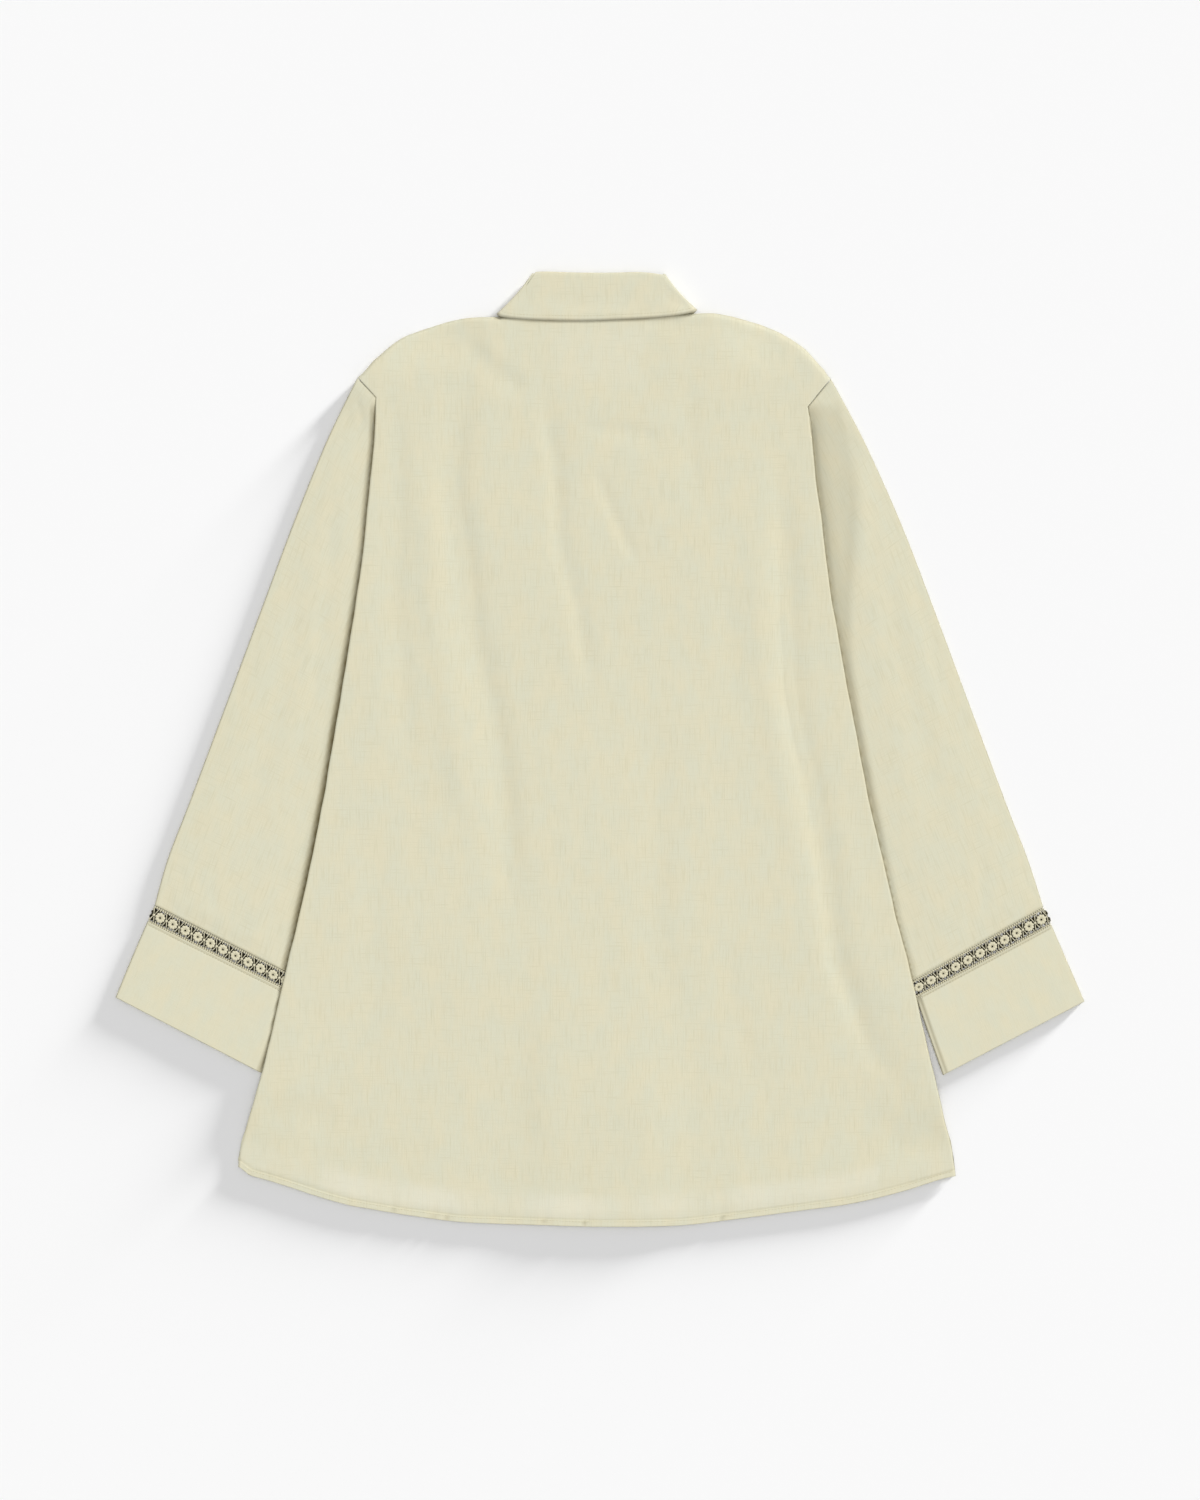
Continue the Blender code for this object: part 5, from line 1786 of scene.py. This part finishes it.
@dataclass
class ButtonRow:
    """Eight round resin buttons down the front lap and the collar, each sewn on and fastened."""

    steps: int = 32
    profile: tuple[Point2, ...] = (
        (0, 0.55), (3.3, 0.55), (4, 0.25), (4.7, 0), (5.3, 0.1), (5.7, 0.55), (5.75, 1.2),
        (5.4, 1.75), (4.6, 2), (0, 2))
    merge: float = 0.001
    hole_reach: float = 1.25
    hole_yarn: float = 0.5
    hole_overlap: float = 0.4
    thread_level: float = 0.45
    thread_flatness: float = 0.7
    hole_levels: Pair = (0.5, 1.2)
    shank_levels: Pair = (1.6, 3.0)
    shank_radius: float = 1.3
    eyelet_length: float = 7.6
    eyelet_stitches: int = 14
    eyelet_level: float = 2.2
    eyelet_edges: Pair = (0.35, 1.5)
    eyelet_yarn: float = 0.55
    eyelet_flatness: float = 0.4

    def build(self, resin: Material, thread: Material) -> None:
        """Build each button with its thread and buttonhole.

        Args:
            resin: the buttons' finish.
            thread: the sewing's finish.
        """
        for index, y in enumerate(BUTTONS_AT):
            word = "collar" if index == 0 else str(index)
            add_piece(f"resin_button_{word}", self.button(y), resin, (f"button_{word}",))
            add_piece(f"button_sewing_{word}", self.sewing(y), thread)

    def button(self, y: float) -> BMesh:
        """One button turned from its profile, its face on the floor."""
        shape = bmesh.new()
        verts = [shape.verts.new((radius * MM, 0.0, level * MM)) for radius, level in self.profile]
        edges = [shape.edges.new(pair) for pair in zip(verts, verts[1:])]
        bmesh.ops.spin(
            shape, geom=verts + edges, cent=(0.0, 0.0, 0.0), axis=(0.0, 0.0, 1.0), angle=2.0 * math.pi,
            steps=self.steps, use_merge=True)
        bmesh.ops.remove_doubles(shape, verts=shape.verts[:], dist=self.merge * MM)
        bmesh.ops.recalc_face_normals(shape, faces=shape.faces[:])
        bmesh.ops.translate(shape, verts=shape.verts[:], vec=(0.0, y * MM, 0.0))
        return shape

    def sewing(self, y: float) -> BMesh:
        """Thread through the four holes, the shank above the button and the buttonhole's edges."""
        shape = bmesh.new()
        hole, over = self.hole_reach, self.hole_reach + self.hole_overlap
        for x in (-hole, hole):
            start, end = (Vector((x, y + at, self.thread_level)) for at in (-over, over))
            add_bead(shape, start, end, self.hole_yarn, self.thread_flatness, 2)
            for at in (-hole, hole):
                start, end = (Vector((x, y + at, level)) for level in self.hole_levels)
                add_bead(shape, start, end, self.hole_yarn)
        start, end = (Vector((0.0, y, level)) for level in self.shank_levels)
        add_bead(shape, start, end, self.shank_radius, 1.0, 2)
        count = self.eyelet_stitches
        for step in range(count):
            at = y + self.eyelet_length * (2.0 * (step + 0.5) / count - 1.0)
            for edge in (-1.0, 1.0):
                start, end = (Vector((edge * out, at, self.eyelet_level)) for out in self.eyelet_edges)
                add_bead(shape, start, end, self.eyelet_yarn, self.eyelet_flatness)
        return shape


@dataclass
class Stitching:
    """Rows of machine stitches as separate little threads along the hems, seams, collar and lap."""

    pitch: float = 2.8
    stitch: float = 2.1
    radius: float = 0.24
    flatness: float = 0.8
    over: float = 0.05
    under: float = 0.14
    hem_from: float = -312.0
    hem_length: float = 620.0
    hem_steps: int = 160
    hem_inset: float = 4.4
    under_inset: float = 5.6
    fall_inset: float = 4.5
    lap_inset: float = 2.0
    lap_from_neck: float = 6.0
    lap_step: float = 8.0
    lap_steps: int = 90
    lap_above_hem: float = 4.0
    sleeve_end: float = 1.04
    cuff_start: float = 0.1
    arm_share: Pair = (0.02, 0.96)
    arm_steps: int = 30
    arm_rise: float = 0.4
    arm_rise_steps: float = 6.0

    def run(self, shape: BMesh, path: Sequence[Vector]) -> None:
        """Sew along a path of points in mm, in a bmesh in metres."""
        at = 0.0
        for start, end in zip(path, path[1:]):
            length = (end - start).length
            while at < length:
                first = start.lerp(end, at / length)
                last = first + (end - start).normalized() * self.stitch
                add_bead(shape, first, last, self.radius, self.flatness)
                at += self.pitch
            at -= length

    def build(self, back: BackPanel, fall: CollarFall, thread: Material) -> Object:
        """Sew the visible rows.

        Args:
            back: the back panel, for its hem.
            fall: the collar's fall, for its edge.
            thread: the sewing's finish.

        Returns:
            The piece.
        """
        shape = bmesh.new()
        folds = CreaseMap(back.creases)
        xs = [self.hem_from + self.hem_length * step / self.hem_steps for step in range(self.hem_steps + 1)]
        hem = [(x, height_at(HEM, x) + self.hem_inset) for x in xs]
        self.run(shape, [Vector((x, y, back.point((x, y), folds).z + self.over)) for x, y in hem])
        below = self.under_inset - self.hem_inset
        self.run(shape, [
            self.under_point(x, y + below, Side.LEFT if x < -LAP_HALF else Side.RIGHT, below)
            for x, y in hem])
        self.run(shape, fall.stitch_path(self.fall_inset))
        for x in (-LAP_HALF + self.lap_inset, LAP_HALF - self.lap_inset, LAP_HALF + self.lap_inset):
            ys = [FRONT_NECK_AT - self.lap_from_neck - self.lap_step * step for step in range(self.lap_steps)]
            low = height_at(HEM, x) + self.lap_above_hem
            self.run(shape, [self.under_point(x, y, Side.RIGHT, 0.0) for y in ys if y > low])
        for side in Side:
            sleeve, cuff = SLEEVES[side], CUFF_ROWS[side]
            for table, place in ((sleeve, len(sleeve) - self.sleeve_end), (cuff, self.cuff_start)):
                self.run(shape, self.arm_path(spline(table, place)))
        return add_piece("machine_stitches", shape, thread)

    def under_point(self, x: float, y: float, side: Side, below: float) -> Vector:
        """Point on the underside of a front, at the level that the front has a little lower down."""
        return Vector((x, y, front_level(x, y - below, side) - WALL / 2.0 + self.under))

    def arm_path(self, row: Sequence[float]) -> list[Vector]:
        """Points across the upper wall of an arm's section."""
        low, high = self.arm_share
        path = []
        for step in range(self.arm_steps + 1):
            x, y = section_point(row, low + (high - low) * step / self.arm_steps)
            rise = self.over + self.arm_rise * smooth(step / self.arm_rise_steps)
            path.append(Vector((x, y, TUBE_HEIGHT + rise)))
        return path


@dataclass
class Studio:
    """Plain pale floor, soft light from the upper right and a camera straight above.

    A low lamp rakes the paper and gives the tunic its long soft shadow, and a higher one lights the
    cloth, as a photographer's flags would part them.
    """

    frame_height: float = 1320.0
    lens: float = 85.0
    film: float = 36.0
    floor_size: float = 14000.0
    floor_drop: float = 0.1
    sky_strength: float = 0.46
    fill_strength: float = 0.82
    fill_spread: float = 60.0
    rake_strength: float = 15.0
    rake_spread: float = 7.2
    rake_from: tuple[float, float, float] = (1.0, 1.0, 0.089)
    key_strength: float = 1.77
    key_spread: float = 20.0
    key_from: tuple[float, float, float] = (1.0, 1.0, 0.92)

    def build(self, paper: Material) -> None:
        """Build the floor, the lights and the camera.

        Args:
            paper: the floor's finish.
        """
        floor = self.add_floor(paper)
        self.add_light("fill_light", self.fill_strength, self.fill_spread, (0.0, 0.0, 1.0))
        rake = self.add_light("floor_light", self.rake_strength, self.rake_spread, self.rake_from)
        key = self.add_light("cloth_light", self.key_strength, self.key_spread, self.key_from)
        self.flag(rake, floor, "INCLUDE")
        self.flag(key, floor, "EXCLUDE")
        self.add_sky()
        self.add_camera()

    def add_floor(self, paper: Material) -> Object:
        """Lay the studio paper just under the tunic."""
        shape = bmesh.new()
        bmesh.ops.create_grid(shape, x_segments=1, y_segments=1, size=self.floor_size * MM / 2.0)
        bmesh.ops.translate(shape, verts=shape.verts[:], vec=(0.0, 0.0, -self.floor_drop * MM))
        mesh = bpy.data.meshes.new("studio_floor")
        shape.to_mesh(mesh)
        shape.free()
        mesh.materials.append(paper)
        floor = bpy.data.objects.new("studio_floor", mesh)
        bpy.context.scene.collection.objects.link(floor)
        return floor

    def add_light(
            self, name: str, strength: float, spread: float, source: Sequence[float]) -> Object:
        """Add an even far light.

        Args:
            name: the light's name.
            strength: its light in watts a square metre.
            spread: how many degrees wide it looks from the tunic, which softens its shadows.
            source: the direction it comes from.

        Returns:
            The light.
        """
        data = bpy.data.lights.new(name, "SUN")
        data.energy = strength
        data.angle = math.radians(spread)
        light = bpy.data.objects.new(name, data)
        light.rotation_euler = Vector(source).to_track_quat("Z", "Y").to_euler()
        bpy.context.scene.collection.objects.link(light)
        return light

    def flag(self, light: Object, floor: Object, state: str) -> None:
        """Let a light reach the floor alone (INCLUDE) or everything but the floor (EXCLUDE)."""
        receivers = bpy.data.collections.new(f"{light.name}_receivers")
        receivers.objects.link(floor)
        receivers.collection_objects[0].light_linking.link_state = state
        light.light_linking.receiver_collection = receivers

    def add_sky(self) -> None:
        """Give the room its even pale light."""
        world = bpy.data.worlds.new("studio_room")
        world.use_nodes = True
        sky = world.node_tree.nodes["Background"].inputs
        sky["Color"].default_value = (1.0, 1.0, 1.0, 1.0)
        sky["Strength"].default_value = self.sky_strength
        bpy.context.scene.world = world

    def add_camera(self) -> None:
        """Put the camera straight above, so that the frame's height spans 1320 mm of floor."""
        data = bpy.data.cameras.new("camera")
        data.lens = self.lens
        data.sensor_width = self.film
        camera = bpy.data.objects.new("camera", data)
        camera.location = (0.0, 0.0, self.frame_height * self.lens / self.film * MM)
        bpy.context.scene.collection.objects.link(camera)
        bpy.context.scene.camera = camera
        bpy.context.scene.view_settings.view_transform = "Standard"


def main() -> None:
    """Build every piece of the tunic and the studio."""
    logging.basicConfig(level=logging.INFO, format="%(name)s %(message)s")
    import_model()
    cloth = WovenCotton("slub_cotton_plain_weave").build()
    cuff_cloth = WovenCotton("smooth_cotton_plain_weave", slub_share=0.25, slub_length=14.0).build()
    lace_finish = {
        # Up faces of the upper lace are a little lighter, which is painted light; those of the lower lace are
        # painted deep shade inside the sleeve.
        Layer.UPPER: TwistedCotton("mercerised_lace_cotton", painted_up_face_colour="#DAD4B8").build(),
        Layer.LOWER: TwistedCotton("mercerised_lace_cotton_shaded_inside", painted_up_face_colour="#2E2A1B").build(),
    }
    # The thread's up faces take the default up-face colour, a little lighter than its own: painted light.
    thread = TwistedCotton("sewing_thread", colour="#D2CCAF", dark_colour="#BEB796").build()
    resin = PolyesterResin("polished_button_resin").build()
    back = BackPanel()
    fall = CollarFall()
    back_piece = back.build(cloth)
    fronts = [FrontPanel(side).build(cloth) for side in Side]
    fall_piece = fall.build(cloth)
    stand_piece = CollarStand().build(cloth)
    for side, front, size in zip(Side, fronts, ((0.332, 0.798, 0.198), (0.327, 0.801, 0.193))):
        sleeve = Sleeve(side).build(cloth)
        cuff = Cuff(side, top_columns=60).build(cuff_cloth)
        bands = (
            LaceBand(side, Layer.UPPER),
            LaceBand(side, Layer.LOWER, flower_radius=5.7, petal_radius=1.95, knot_radius=1.6, yarn=0.95))
        lace = [band.build(lace_finish[band.layer]) for band in bands]
    ButtonRow().build(resin, thread)
    Stitching().build(back, fall, thread)
    Studio().build(PaperBackdrop("matt_studio_paper").build())


if __name__ == "__main__":
    main()
